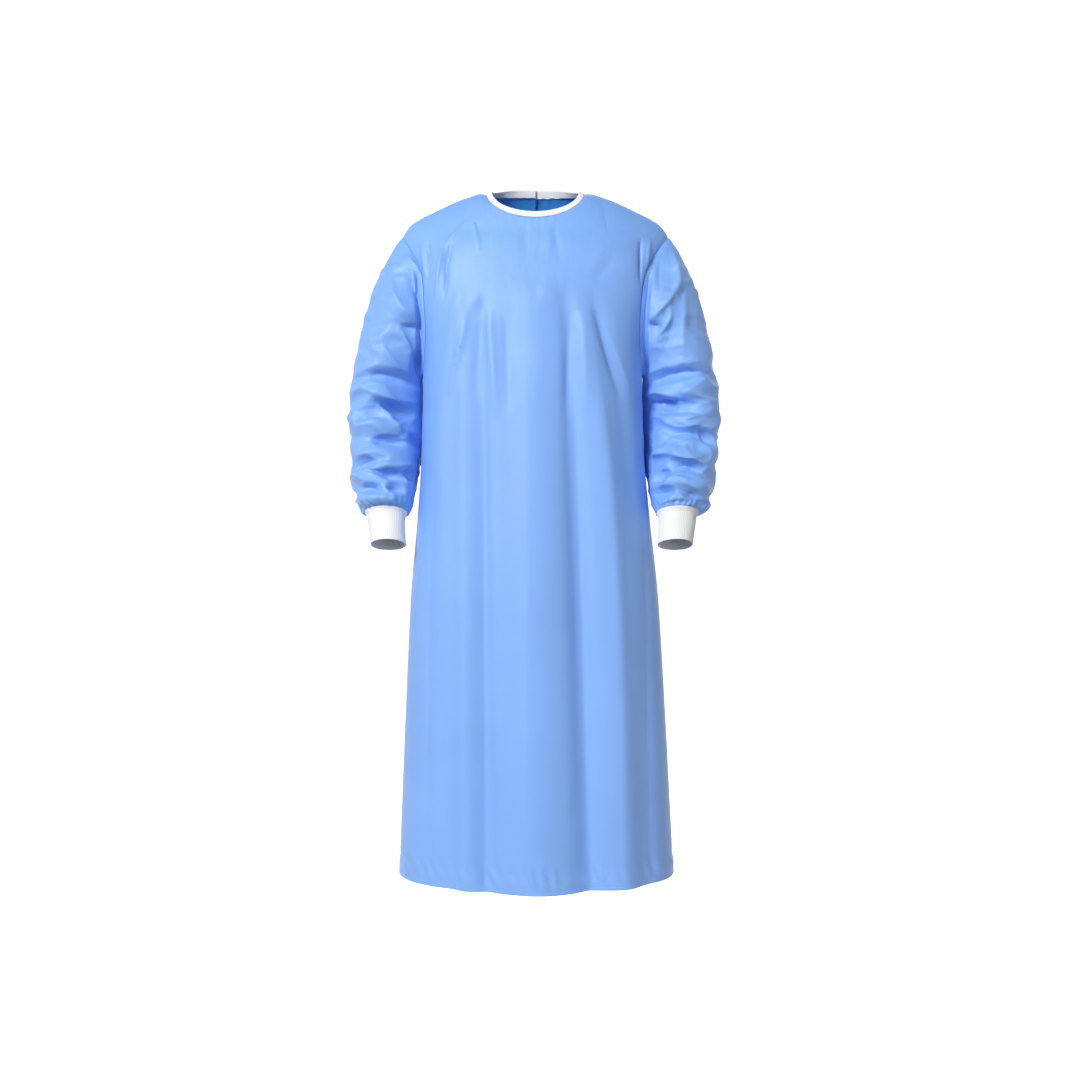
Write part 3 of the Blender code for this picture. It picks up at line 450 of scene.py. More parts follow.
# Trough beside the armhole: depth, distance from the seam, width, turns at which it starts and ends
ARMHOLE_TROUGH = (0.0120, 0.0085, 0.0058)
TROUGH_TURNS = (0.28, 0.45, 0.86, 0.97)
# Fullness under the arm: height of the bulge, its place, half height and half span in turns
ARMPIT_FILL = (0.0024, -0.335, 0.024, 0.20)
# Sleeves: name, side, forearm, folds, front creases, creases mirrored on the back, seeds of creases and
# pockets
SLEEVES = (
    ("left", 1.0, LEFT_FOREARM, LEFT_SLEEVE_FOLDS, LEFT_SLEEVE_CREASES, RIGHT_SLEEVE_CREASES, 7, 5),
    ("right", -1.0, RIGHT_FOREARM, RIGHT_SLEEVE_FOLDS, RIGHT_SLEEVE_CREASES, LEFT_SLEEVE_CREASES, 11, 3),
)

# Finishes: angle at which an edge is sharp, unit of a wave texture, distance between stitches, half width
# of their line, share of the cloth's colour on the inside face, darker in red as painted shade of the gown's
# interior
RIM_ANGLE = 55.0
WAVE_UNIT = 0.3142
STITCH_PITCH = 0.0028
STITCH_HALF_WIDTH = 0.0006
INSIDE_SHADE_SHARES = (0.26, 0.90, 1.05)
# Noise scale, detail and roughness, then distance and strength of the bump
CRUMPLE = (26.0, 3.0, 0.55, 0.0016, 0.45)
STREAKS = (55.0, 3.0, 0.55, 0.0012, 0.45)
GRAIN = (140.0, 4.0, 0.6, 0.0002, 0.5)
KNIT_NAP = (900.0, 3.0, 0.6, 0.0002, 0.4)
TAPE_NAP = (700.0, 3.0, 0.6, 0.00015, 0.4)
STREAK_STRETCH = (1.0, 1.0, 0.14)
KNIT_PITCH = 0.0011
TWILL_PITCH = 0.0009

# Cuff surface: ribs, swell (height, turns, phase, rate down), edge, hem (height, width, place), ribs kept
# at edge
KNIT_THICKNESS = 0.0016
RIB_COLUMNS = 6
RIB_HEIGHT = 0.00022
RIB_EDGE_SHARE = 0.4
CUFF_FINE_ROWS = 40
CUFF_SWELL = (0.0006, 3.0, 0.6, 70.0)
CUFF_EDGE = 0.004
CUFF_HEM = (0.0006, 0.0025, 0.002)

# Binding surface: columns, rows, foot, lean at the sides, extra height at the back; share of the height
# where the top rounds over and its least fullness; fullness and reach of the foot; stitch (depth, place,
# width, steady share); wave (height, length, sway, rate)
BINDING_COLUMNS = 60
BINDING_LAP_COLUMNS = 18
BINDING_FINE_ROWS = 22
BINDING_SMOOTHING = 3
BINDING_FOOT = 0.0002
BINDING_SIDE_LEAN = 1.8
BINDING_SIDE_POWER = 3
BINDING_BACK_RISE = 0.28
BINDING_ROUND = (0.78, 0.02)
BINDING_FOOT_ROUND = (0.75, 0.12)
BINDING_STITCH = (0.20, 0.17, 0.045, 0.7)
BINDING_WAVE = (0.06, 0.021, 1.2, 40.0)

# Tape surface: folded thickness, columns along a tie and across it, pinch at the knot and where it starts,
# bow (height, waves along, waves by height, height and waves across at the pinch)
TAPE_FOLDED = 0.0024
TAPE_COLUMNS = 60
TAPE_ACROSS = 7
TAPE_UNDER_KNOT = 0.002
TAPE_PINCH = (0.42, 0.80)
TAPE_BOW = (0.0010, 9.0, 20.0, 0.0012, 9.0)
# Tails: rows, start as a share of the knot's half height, narrow share and reach, sway (size, rate down,
# rate by height), curl (height, rate down, waves across, their rate down)
TAIL_ROWS = 120
TAIL_START = 0.6
TAIL_NARROW = (0.55, 0.12)
TAIL_SWAY = (0.0025, 7.0, 9.0)
TAIL_CURL = (0.0006, 11.0, 5.0, 6.0)
# Knot: rows, columns, tape that it takes, thickness of its skin, inset and least fullness of the core,
# waist of a band, then core and bands: tilt, half width, swell
KNOT_ROWS = 10
KNOT_COLUMNS = 36
KNOT_TAPE = 0.12
KNOT_SKIN = 0.0009
KNOT_INSET = 0.0004
KNOT_CORE_LEAST = 0.03
KNOT_BAND_WAIST = 0.10
KNOT_BANDS = (
    (0.0, 0.00828, 0.86),
    (0.35, 0.0042, 1.0),
    (-0.5, 0.0034, 0.97),
)

# Stage
STAGE_FLOOR = -1.52
STAGE_RADIUS = 7.0
STAGE_BEND = 3.0
STAGE_RISE = 8.0
STAGE_COLUMNS = 72
STAGE_BEND_ROWS = 13
STAGE_MIDDLE = 0.0001
SKY_ABOVE = 0.27
SKY_BELOW = 0.24
SKY_COLOUR = (0.93, 0.96, 1.0, 1.0)
CAMERA_PLACE = (0.008, -2.6, -0.603)
CAMERA_LENS = 49.5
CAMERA_FAR = 60.0
# Lights: name, place, aim, size, power in watts, colour
LIGHTS = (
    ("key", (-2.5, -4.0, 2.05), (0.0, 0.0, -0.65), 1.3, 256.0, (1.0, 0.985, 0.96)),
    ("fill", (2.4, -2.6, -0.4), (0.0, 0.0, -0.6), 1.8, 13.0, (0.96, 0.98, 1.0)),
    ("back", (0.3, 3.0, 0.8), (0.0, 0.0, -0.6), 2.4, 60.0, (1.0, 1.0, 1.0)),
)

# Fine grid of the cloth, and the power by which the rows grow below the armhole
FRONT_NECK_COLUMNS = 46
FRONT_SHOULDER_COLUMNS = 38
BACK_OVERLAP_COLUMNS = 24
BACK_NECK_COLUMNS = 44
BACK_SHOULDER_COLUMNS = 36
PANEL_ARMHOLE_ROWS = 96
PANEL_BODY_ROWS = 186
BODY_ROW_GROWTH = 1.25
SLEEVE_HALF_COLUMNS = 88
SLEEVE_UPPER_ROWS = 134
SLEEVE_LOWER_ROWS = 126


def read(table, column, at):
    """Read a column of a table at values of its first column: a cubic through the rows whose slopes are the
    harmonic means of the steps beside each row, so that it never overshoots."""
    rows = np.array(sorted(row[:1] + (row[column],) for row in table))
    places, values = rows[:, 0], rows[:, 1]
    steps = np.diff(values) / np.diff(places)
    slopes = np.concatenate(([steps[0]], np.zeros(len(steps) - 1), [steps[-1]]))
    same_way = steps[:-1] * steps[1:] > 0.0
    total = np.where(same_way, steps[:-1] + steps[1:], 1.0)
    slopes[1:-1] = np.where(same_way, 2.0 * steps[:-1] * steps[1:] / total, 0.0)
    at = np.clip(at, places[0], places[-1])
    start = np.clip(np.searchsorted(places, at) - 1, 0, len(places) - 2)
    width = places[start + 1] - places[start]
    share = (at - places[start]) / width
    return (values[start] * (1.0 + 2.0 * share) * (1.0 - share) ** 2
            + values[start + 1] * share ** 2 * (3.0 - 2.0 * share)
            + width * slopes[start] * share * (1.0 - share) ** 2
            + width * slopes[start + 1] * share ** 2 * (share - 1.0))


def ease(start, end, at):
    """A smooth step: 0 at start, 1 at end, with the cubic 3s^2 - 2s^3 between them."""
    share = np.clip((at - start) / (end - start), 0.0, 1.0)
    return share * share * (3.0 - 2.0 * share)


def bell(at, width, middle=0.0):
    """A bell of height 1 about the middle: e to the power of minus the squared distance over the width."""
    return np.exp(-((at - middle) / width) ** 2)


def uneven_wave(at, length, sway, rate, shift=0.0):
    """A sine wave of a length whose phase moves by the shift and sways by a second sine."""
    return np.sin(at * 2.0 * np.pi / length + shift + sway * np.sin(at * rate))


def shoulder_height(x):
    """Height of the shoulder ridge at x: the seam's curve, raised over the neck by a dome to a low power."""
    inside = 1.0 - np.clip(np.abs(x) / NECK_HALF_WIDTH, 0.0, 1.0) ** 2
    return read(SHOULDER, 1, np.abs(x)) + NECK_RIDGE * inside ** NECK_RIDGE_POWER


def long_folds(table, x, z):
    """Sum of the long folds at (x, z): each is a bell across a curve down the panel, growing from start to
    end."""
    total = np.zeros(np.broadcast(x, z).shape)
    for z_start, x_start, z_middle, x_middle, z_end, x_end, start, end, width_start, width_end in table:
        line = read(((z_start, x_start), (z_middle, x_middle), (z_end, x_end)), 1, z)
        share = np.clip((z_start - z) / (z_start - z_end), 0.0, 1.0)
        size = start + (end - start) * share
        width = width_start + (width_end - width_start) * share
        ends = ease(z_start + FOLD_END / 2, z_start - FOLD_END / 2, z)
        if z_end > HEM_SIDE:
            ends = ends * ease(z_end - FOLD_END, z_end + FOLD_END, z)
        total = total + size * ends * bell(x, width, line)
    return total


def depth_column(back):
    """Column of the body table that holds this side's depth."""
    return 3 if back else 2


def ring_angle(x, z, back):
    """Angle from the panel's centre at which the body ring of height z has half width x: the ring is the
    curve (x / half width)^p + (y / depth)^p = 1."""
    half_width = read(BODY_RINGS, 1, z)
    share = np.clip(np.abs(x) / half_width, 0.0, 1.0)
    depth = read(BODY_RINGS, depth_column(back), z) * (1.0 - share ** RING_POWER) ** (1.0 / RING_POWER)
    return np.sign(x) * np.arctan2(np.abs(x), depth)


def body_point(angle, z, back, lift, ridge):
    """Point of the body at an angle and height: the ring's radius at that angle, its depth drawn in by a
    quarter circle under the shoulder ridge, then moved out from the middle by the long folds and the
    lift."""
    half_width = read(BODY_RINGS, 1, z)
    depth = read(BODY_RINGS, depth_column(back), z)
    sine = np.sin(angle)
    cosine = np.maximum(np.cos(angle), 0.0)
    radius = ((cosine / depth) ** RING_POWER + np.abs(sine / half_width) ** RING_POWER) ** (-1.0 / RING_POWER)
    x = radius * sine
    below = np.clip((ridge - z) / SHOULDER_ROUNDING, 0.0, 1.0)
    fullness = np.sqrt(1.0 - (1.0 - below) ** 2)
    out = long_folds(BACK_FOLDS if back else FRONT_FOLDS, x, z) * np.sqrt(cosine) + lift
    y = radius * cosine * fullness + out * cosine
    side = 1.0 if back else -1.0
    return np.stack((x + out * sine + read(BODY_RINGS, 4, z), side * y, z * np.ones(np.shape(x))), axis=-1)


def panel_rows():
    """Heights of the rows at a panel's side: cosine steps round the armhole, then growing steps to the
    hem."""
    top = float(shoulder_height(ARMHOLE_TOP_X))
    turn = np.linspace(0.0, np.pi, PANEL_ARMHOLE_ROWS + 1)
    armhole = top + (ARMHOLE_BOTTOM - top) * (1.0 - np.cos(turn)) / 2.0
    share = np.linspace(0.0, 1.0, PANEL_BODY_ROWS + 1)[1:] ** BODY_ROW_GROWTH
    return np.concatenate((armhole, ARMHOLE_BOTTOM + (HEM_SIDE - ARMHOLE_BOTTOM) * share))


def lower_share(place):
    """Share of the way round to the side at which a column runs low on the panel."""
    along_neck = np.where(place < 0.0, place / OVERLAP_NECK_SHARE * OVERLAP_SHARE, place * LOWER_NECK_SHARE)
    return np.where(place > 1.0, LOWER_NECK_SHARE + (1.0 - LOWER_NECK_SHARE) * (place - 1.0), along_neck)


def reach(share, edge_angle):
    """Angle of a column: its share of a quarter turn, and near the side its share of the armhole's angle."""
    return share * np.pi / 2 - np.abs(share) ** ARMHOLE_PULL * (np.pi / 2 - edge_angle)


def panel_sheet(back, side, place, heights, layer=0.0, ramp=(0.0, 1.0)):
    """Sheet of a half panel on a grid of places along its top edge (0 centre, 1 neck end, 2 armhole) by
    heights at its side: columns fan out from the neck, follow the armhole and hang to the hem."""
    top = float(shoulder_height(ARMHOLE_TOP_X))
    rise = NECK_BACK_RISE if back else -NECK_FRONT_DROP
    on_neck = np.minimum(place, 1.0) * np.pi / 2
    shoulder_x = NECK_HALF_WIDTH + (ARMHOLE_TOP_X - NECK_HALF_WIDTH) * np.maximum(place - 1.0, 0.0)
    top_x = np.where(place > 1.0, shoulder_x, NECK_HALF_WIDTH * np.sin(on_neck))
    top_z = np.where(place > 1.0, shoulder_height(shoulder_x), NECK_SIDE + rise * np.cos(on_neck))
    heights = heights[:, None]
    down = (heights - top) / (HEM_SIDE - top)
    armhole_x = read(ARMHOLE, 1, heights) * read(BODY_RINGS, 1, heights)
    armhole_x = np.where(heights >= top, ARMHOLE_TOP_X, armhole_x)
    edge_angle = np.where(heights > ARMHOLE_BOTTOM, ring_angle(armhole_x, heights, back), np.pi / 2)
    first_edge = float(ring_angle(np.array(ARMHOLE_TOP_X), np.array(top), back))
    top_angle = ring_angle(top_x, top_z, back)
    side_angle = float(ring_angle(np.array(NECK_HALF_WIDTH), np.array(NECK_SIDE), back))
    turned = top_angle / side_angle
    along_neck = side_angle / first_edge * turned * (1.0 + NECK_FAN * np.abs(turned) ** NECK_FAN_POWER)
    neck_end = side_angle / first_edge * (1.0 + NECK_FAN)
    upper = np.where(place > 1.0, neck_end + (1.0 - neck_end) * (place - 1.0), along_neck)
    lower = ease(SHARE_FADE[0], SHARE_FADE[1], down)
    share = upper * (1.0 - lower) + lower_share(place) * lower
    level = ease(0.0, 1.0, (heights - top) / (ARMHOLE_BOTTOM - top))
    dip = 0.0 if back else HEM_FRONT_DIP * np.cos(share * np.pi / 2) ** 2
    z = heights + (top_z - top) * (1.0 - level) - dip * down ** 2
    blend = np.clip(1.0 - (down / NECK_FADE) ** NECK_FADE_POWER, 0.0, 1.0)
    angle = reach(share, edge_angle) + (top_angle - reach(upper, first_edge)) * blend
    lift = layer * (1.0 - ease(ramp[0], ramp[1], share)) * np.ones(np.shape(z))
    return body_point(side * angle, z, back, lift, shoulder_height(top_x))


def sheet_normals(sheet, closed, outward):
    """Unit normals of a sheet: the cross product of its steps down and across, turned to the outside."""
    down = np.gradient(sheet, axis=0)
    if closed:
        across = np.roll(sheet, -1, axis=1) - np.roll(sheet, 1, axis=1)
    else:
        across = np.gradient(sheet, axis=1)
    normals = np.cross(down, across)
    normals /= np.linalg.norm(normals, axis=-1, keepdims=True) + 1e-12
    if np.sum(normals * outward) < 0.0:
        normals = -normals
    return normals


def forearm_ring(table, side, z, turn):
    """Ring of the forearm at z: an ellipse between its four edges, slanted so that its rear lies nearer the
    body than its front, and tipped forwards about its long axis."""
    inner, outer, front, rear, tilt, slant = (read(table, column, z) for column in range(1, 7))
    angle = turn * np.pi
    half_depth = (rear - front) / 2
    half_width = np.sqrt(((outer - inner) / 2) ** 2 - (slant * half_depth) ** 2)
    ahead = half_depth * np.sin(angle)
    across = half_width * np.cos(angle) + slant * ahead
    lean = np.radians(tilt)
    x = (outer + inner) / 2 + across
    y = (front + rear) / 2 - ahead * np.cos(lean)
    return np.stack((side * x, y, z + ahead * np.sin(lean)), axis=-1)


def sleeve_folds(table, turn, z):
    """Sum of the sleeve's cross folds: each is a bell in height about a sloping line and a bell round the
    arm."""
    total = np.zeros(np.shape(z))
    for height, middle, span, slope, size, width in table:
        around = half_turns(turn, middle)
        across = (z - height - slope * around) / width
        total = total + size * np.exp(-(around / span) ** 2 - across ** 2)
    return total * ease(0.0, FOLD_FREE_WIDTH, np.abs(turn - 1.0))


def sleeve_sheet(side, forearm, turn):
    """Sheet of a sleeve: a cubic from each armhole point to the elbow ring, then rings down to the cuff."""
    top = float(shoulder_height(ARMHOLE_TOP_X))
    front_turn = np.minimum(turn, 2.0 - turn)
    heights = top + (ARMHOLE_BOTTOM - top) * (1.0 - np.cos(front_turn * np.pi)) / 2.0
    edge = np.array((2.0,))
    ahead = panel_sheet(False, side, edge, heights)[:, 0]
    behind = panel_sheet(True, side, edge, heights)[:, 0]
    armhole = np.where((turn > 1.0)[:, None], behind, ahead)
    facing = np.where(turn > 1.0, -1.0, 1.0)
    length = read(SLEEVE_START, 4, front_turn)
    start = np.stack((side * read(SLEEVE_START, 1, front_turn), -facing * read(SLEEVE_START, 2, front_turn),
                      read(SLEEVE_START, 3, front_turn)), axis=-1) * length[:, None]
    elbow = forearm_ring(forearm, side, ELBOW, turn)
    end = np.zeros(elbow.shape)
    end[:, 2] = -read(ELBOW_RUN, 1, front_turn)
    share = np.linspace(0.0, 1.0, SLEEVE_UPPER_ROWS + 1)[:, None, None]
    upper = (armhole * (1.0 + 2.0 * share) * (1.0 - share) ** 2 + start * share * (1.0 - share) ** 2
             + elbow * share ** 2 * (3.0 - 2.0 * share) + end * share ** 2 * (share - 1.0))
    fall = np.sin(np.linspace(0.0, 1.0, SLEEVE_LOWER_ROWS + 1)[1:] * np.pi / 2)[:, None]
    lower = forearm_ring(forearm, side, ELBOW + (forearm[-1][0] - ELBOW) * fall, turn)
    return np.concatenate((upper, lower))


def crease_heights(sheet, normals, table, toward):
    """Height to add along each point's normal: for every crease, the distance to its curve over its half
    width on that side goes through a bell with a narrow crest, times a half sine along the curve. The
    curves are stated as seen along Y and laid on the points that face that way."""
    points = sheet.reshape(-1, 3)
    facing = normals.reshape(-1, 3)
    visible = points[facing[:, 1] * toward > FACING_LEAST]
    total = np.zeros(len(points))
    share = np.linspace(0.0, 1.0, PATH_STEPS)[:, None]
    for row in table:
        first, middle, last = (np.array(row[start:start + 2]) for start in (0, 2, 4))
        size, left_width, right_width = row[6:]
        bend = 2.0 * middle - (first + last) / 2
        flat = first * (1.0 - share) ** 2 + bend * 2.0 * share * (1.0 - share) + last * share ** 2
        away = (visible[None, :, 0] - flat[:, :1]) ** 2 + (visible[None, :, 2] - flat[:, 1:]) ** 2
        depth = visible[np.argmin(away, axis=1), 1]
        depth = np.convolve(np.pad(depth, PATH_SMOOTHING // 2, mode="edge"),
                            np.ones(PATH_SMOOTHING) / PATH_SMOOTHING, mode="valid")
        path = np.stack((flat[:, 0], depth, flat[:, 1]), axis=-1)
        margin = CREASE_FADE[1] * max(left_width, right_width)
        near = np.all((points > path.min(axis=0) - margin) & (points < path.max(axis=0) + margin), axis=1)
        chosen = points[near]
        if not len(chosen):
            continue
        run = path[1:] - path[:-1]
        from_start = chosen[:, None, :] - path[None, :-1, :]
        along = np.clip(np.sum(from_start * run, axis=-1) / np.sum(run * run, axis=-1), 0.0, 1.0)
        across = from_start - along[..., None] * run
        distance = np.sum(across * across, axis=-1)
        best = np.argmin(distance, axis=1)
        pick = np.arange(len(chosen))
        across = across[pick, best]
        side = np.sum(np.cross(run[best], across) * facing[near], axis=-1)
        width = np.where(side > 0.0, left_width, right_width)
        place = (best + along[pick, best]) / (PATH_STEPS - 1)
        far = (np.sqrt(distance[pick, best] + CREST ** 2) - CREST) / width
        across = np.exp(-far ** CREASE_POWER) * (1.0 - ease(*CREASE_FADE, far))
        total[near] += size * np.sin(np.pi * place) ** CREASE_TAPER * across
    return total.reshape(sheet.shape[:2])


def half_turns(turn, middle):
    """Distance round the arm from a middle, in half turns from -1 to 1."""
    return (turn - middle + 1.0) % 2.0 - 1.0


def drawn_pockets(seeds, seed):
    """The stated pockets and those drawn on a shaken brick pattern round the arm, clear of the stated ones.
    Each is (turn, z, half length, slope)."""
    draw = np.random.default_rng(seed)
    longest = POCKET_LENGTH[1]
    count = int(round(ARM_ROUND / (POCKET_SPACING[0] * longest)))
    middles = list(seeds)
    level = POCKET_LEVELS[0]
    while level > POCKET_LEVELS[1]:
        half = float(read(POCKETS, 2, np.array(level)))
        start = draw.uniform(0.0, 2.0)
        for index in range(count):
            around = (start + 2.0 * (index + draw.uniform(-POCKET_SHAKE[0], POCKET_SHAKE[0])) / count) % 2.0
            middle = level + draw.uniform(-POCKET_SHAKE[1], POCKET_SHAKE[1]) * half
            apart = [math.hypot(half_turns(around, row[0]) * ARM_ROUND / 2 / longest,
                                (middle - row[1]) / half / POCKET_CLEAR) for row in seeds]
            if min(apart) > 1.0:
                middles.append((around, middle, draw.uniform(*POCKET_LENGTH), draw.normal(0.0, POCKET_SLOPE)))
        level -= POCKET_SPACING[1] * half
    return middles


def pocket_heights(turn, z, middles):
    """Height of the pockets pressed into a sleeve: each point takes the least of its squared distances to
    the pockets' middles, along over half length and across over half height, so that sharp creases stand
    between."""
    least = np.full(z.shape, POCKET_LIMIT)
    half = read(POCKETS, 2, z)
    for around, middle, length, slope in middles:
        along = half_turns(turn, around) * ARM_ROUND / 2
        rise = z - middle
        least = np.minimum(least, ((along * np.cos(slope) + rise * np.sin(slope)) / length) ** 2
                           + ((rise * np.cos(slope) - along * np.sin(slope)) / half) ** 2)
    return read(POCKETS, 1, z) * (least / POCKET_LIMIT - POCKET_BASE)


def pocket_seeds(table, sheet, normals, turn, side):
    """Pockets that the table's troughs name: the nearest point that faces the front gives the turn, and the
    trough's run gives the half length and the slope."""
    seeds = []
    for x0, z0, x1, z1, x2, z2, height in (row[:7] for row in table):
        if height < 0.0:
            behind = normals[..., 1] > -FACING_LEAST
            away = (sheet[..., 0] - x1) ** 2 + (sheet[..., 2] - z1) ** 2 + behind
            column = int(np.argmin(away)) % len(turn)
            run = -side * (x2 - x0)
            slope = math.atan2(z2 - z0, run) if run > 0.0 else math.atan2(z0 - z2, -run)
            length = max(SEED_LENGTH[0] * math.hypot(x2 - x0, z2 - z0), SEED_LENGTH[1])
            seeds.append((turn[column], z1, length, slope))
    return seeds


def scattered_creases(seed, across):
    """Table of small creases set out at random between two distances across: each is a slightly bent line of
    random length and slope, with a random height of either sign."""
    draw = np.random.default_rng(seed)
    x, z = draw.uniform(*across, SMALL_COUNT), draw.uniform(*SMALL_HEIGHTS, SMALL_COUNT)
    run = draw.uniform(*SMALL_LENGTH, SMALL_COUNT) / 2
    slope = draw.normal(0.0, SMALL_SLOPE, SMALL_COUNT)
    bend = draw.normal(0.0, SMALL_BEND, SMALL_COUNT) * run
    height = draw.uniform(*SMALL_SIZE, SMALL_COUNT) * np.where(draw.random(SMALL_COUNT) < 0.5, -1.0, 1.0)
    step_x, step_z = run * np.cos(slope), run * np.sin(slope)
    half_width = draw.uniform(*SMALL_WIDTH, (SMALL_COUNT, 2))
    return np.stack((x - step_x, z - step_z, x, z + bend, x + step_x, z + step_z, height,
                     half_width[:, 0], half_width[:, 1]), axis=-1).tolist()


def arc_lengths(sheet):
    """Distance of each point along its row from the row's start, and down its column from the top."""
    along = np.linalg.norm(np.diff(sheet, axis=1), axis=-1)
    down = np.linalg.norm(np.diff(sheet, axis=0), axis=-1)
    return (np.pad(np.cumsum(along, axis=1), ((0, 0), (1, 0))),
            np.pad(np.cumsum(down, axis=0), ((1, 0), (0, 0))))


def wall_arrays(sheet, normals, thickness, closed, uv, marks=()):
    """Points, quads and their UVs of a closed wall about a sheet: the sheet moved half the thickness out
    and in along its normals, with the rims between. uv is a grid in metres and marks are named grids of
    values."""
    rows, columns = sheet.shape[:2]
    outer = (sheet + normals * thickness / 2).reshape(-1, 3)
    inner = (sheet - normals * thickness / 2).reshape(-1, 3)
    points = np.concatenate((outer, inner))
    number = np.arange(rows * columns).reshape(rows, columns)
    if closed:
        number = np.concatenate((number, number[:, :1]), axis=1)
    corner = np.arange(number.size).reshape(number.shape)
    far = number + rows * columns

    def quad_ring(near, beyond):
        """Quads of the outer face, the inner face and the rims, as four corners each."""
        faces = [np.stack((near[:-1, :-1], near[1:, :-1], near[1:, 1:], near[:-1, 1:]),
                          axis=-1).reshape(-1, 4),
                 np.stack((beyond[:-1, 1:], beyond[1:, 1:], beyond[1:, :-1], beyond[:-1, :-1]),
                          axis=-1).reshape(-1, 4),
                 np.stack((near[0, :-1], near[0, 1:], beyond[0, 1:], beyond[0, :-1]), axis=-1),
                 np.stack((near[-1, 1:], near[-1, :-1], beyond[-1, :-1], beyond[-1, 1:]), axis=-1)]
        if not closed:
            faces += [np.stack((near[:-1, 0], beyond[:-1, 0], beyond[1:, 0], near[1:, 0]), axis=-1),
                      np.stack((near[:-1, -1], near[1:, -1], beyond[1:, -1], beyond[:-1, -1]), axis=-1)]
        return np.concatenate(faces)

    quads, spots = quad_ring(number, far), quad_ring(corner, corner)
    first, second, third, fourth = (points[quads[:, index]] for index in range(4))
    volume = np.sum(first * np.cross(second, third)) + np.sum(first * np.cross(third, fourth))
    if volume < 0.0:
        quads, spots = quads[:, ::-1], spots[:, ::-1]
    values = {label: np.concatenate((grid.ravel(), grid.ravel())) for label, grid in marks}
    values["inside"] = np.repeat((0.0, 1.0), rows * columns)
    return points, quads, uv.reshape(-1, 2)[spots], values


def add_object(name, parts, material):
    """Object of one mesh joined from wall arrays, smooth but for its rims."""
    starts = np.cumsum([0] + [len(part[0]) for part in parts[:-1]])
    points = np.concatenate([part[0] for part in parts])
    quads = np.concatenate([part[1] + start for part, start in zip(parts, starts)])
    spots = np.concatenate([part[2] for part in parts])
    mesh = bpy.data.meshes.new(name)
    mesh.from_pydata(points, [], quads)
    mesh.uv_layers.new(name="cloth").data.foreach_set("uv", spots.astype(np.float32).ravel())
    for label in parts[0][3]:
        values = np.concatenate([part[3][label] for part in parts]).astype(np.float32)
        mesh.attributes.new(label, "FLOAT", "POINT").data.foreach_set("value", values)
    mesh.shade_smooth()
    mesh.set_sharp_from_angle(angle=math.radians(RIM_ANGLE))
    mesh.materials.append(material)
    thing = bpy.data.objects.new(name, mesh)
    bpy.context.scene.collection.objects.link(thing)
    return thing


def wall_object(name, sheet, normals, thickness, closed, material, uv, marks=()):
    """Object of one wall."""
    return add_object(name, [wall_arrays(sheet, normals, thickness, closed, uv, marks)], material)


def grid_uv(along, down, columns_closed):
    """UV grid in metres from the lengths along and down, with one more column where the rows close."""
    if columns_closed:
        along = np.concatenate((along, along[:, -1:] * 2 - along[:, -2:-1]), axis=1)
        down = np.concatenate((down, down[:, :1]), axis=1)
    return np.stack((along, down), axis=-1)


class Nodes:
    """Short way to add and join the nodes of a material."""

    def __init__(self, name):
        self.material = bpy.data.materials.new(name)
        self.material.use_nodes = True
        self.tree = self.material.node_tree
        self.shader = self.tree.nodes["Principled BSDF"]

    def add(self, kind, values=None, **settings):
        node = self.tree.nodes.new(kind)
        for key, value in settings.items():
            setattr(node, key, value)
        for key, value in (values or {}).items():
            if isinstance(value, bpy.types.NodeSocket):
                self.tree.links.new(value, node.inputs[key])
            else:
                node.inputs[key].default_value = value
        return node

    def math(self, operation, first, second=0.0, third=0.0):
        return self.add("ShaderNodeMath", {0: first, 1: second, 2: third}, operation=operation).outputs[0]

    def ramp(self, value, low, high, start=0.0, end=1.0):
        return self.add("ShaderNodeMapRange", {"Value": value, "From Min": low, "From Max": high,
                                               "To Min": start, "To Max": end}).outputs["Result"]

    def noise(self, where, scale, detail=3.0, roughness=0.5):
        return self.add("ShaderNodeTexNoise", {"Vector": where, "Scale": scale, "Detail": detail,
                                               "Roughness": roughness}).outputs["Fac"]

    def bump(self, height, distance, strength=1.0, normal=None):
        values = {"Height": height, "Distance": distance, "Strength": strength}
        if normal is not None:
            values["Normal"] = normal
        return self.add("ShaderNodeBump", values).outputs["Normal"]

    def mix(self, share, first, second):
        node = self.add("ShaderNodeMix", data_type="RGBA")
        for socket, value in ((node.inputs[0], share), (node.inputs[6], first), (node.inputs[7], second)):
            if isinstance(value, bpy.types.NodeSocket):
                self.tree.links.new(value, socket)
            else:
                socket.default_value = value
        return node.outputs[2]

    def set(self, **values):
        for key, value in values.items():
            socket = self.shader.inputs[key.replace("_", " ")]
            if isinstance(value, bpy.types.NodeSocket):
                self.tree.links.new(value, socket)
            else:
                socket.default_value = value


def shade(colour, factor):
    """A colour with its three channels multiplied."""
    return tuple(channel * factor for channel in colour[:3]) + (1.0,)


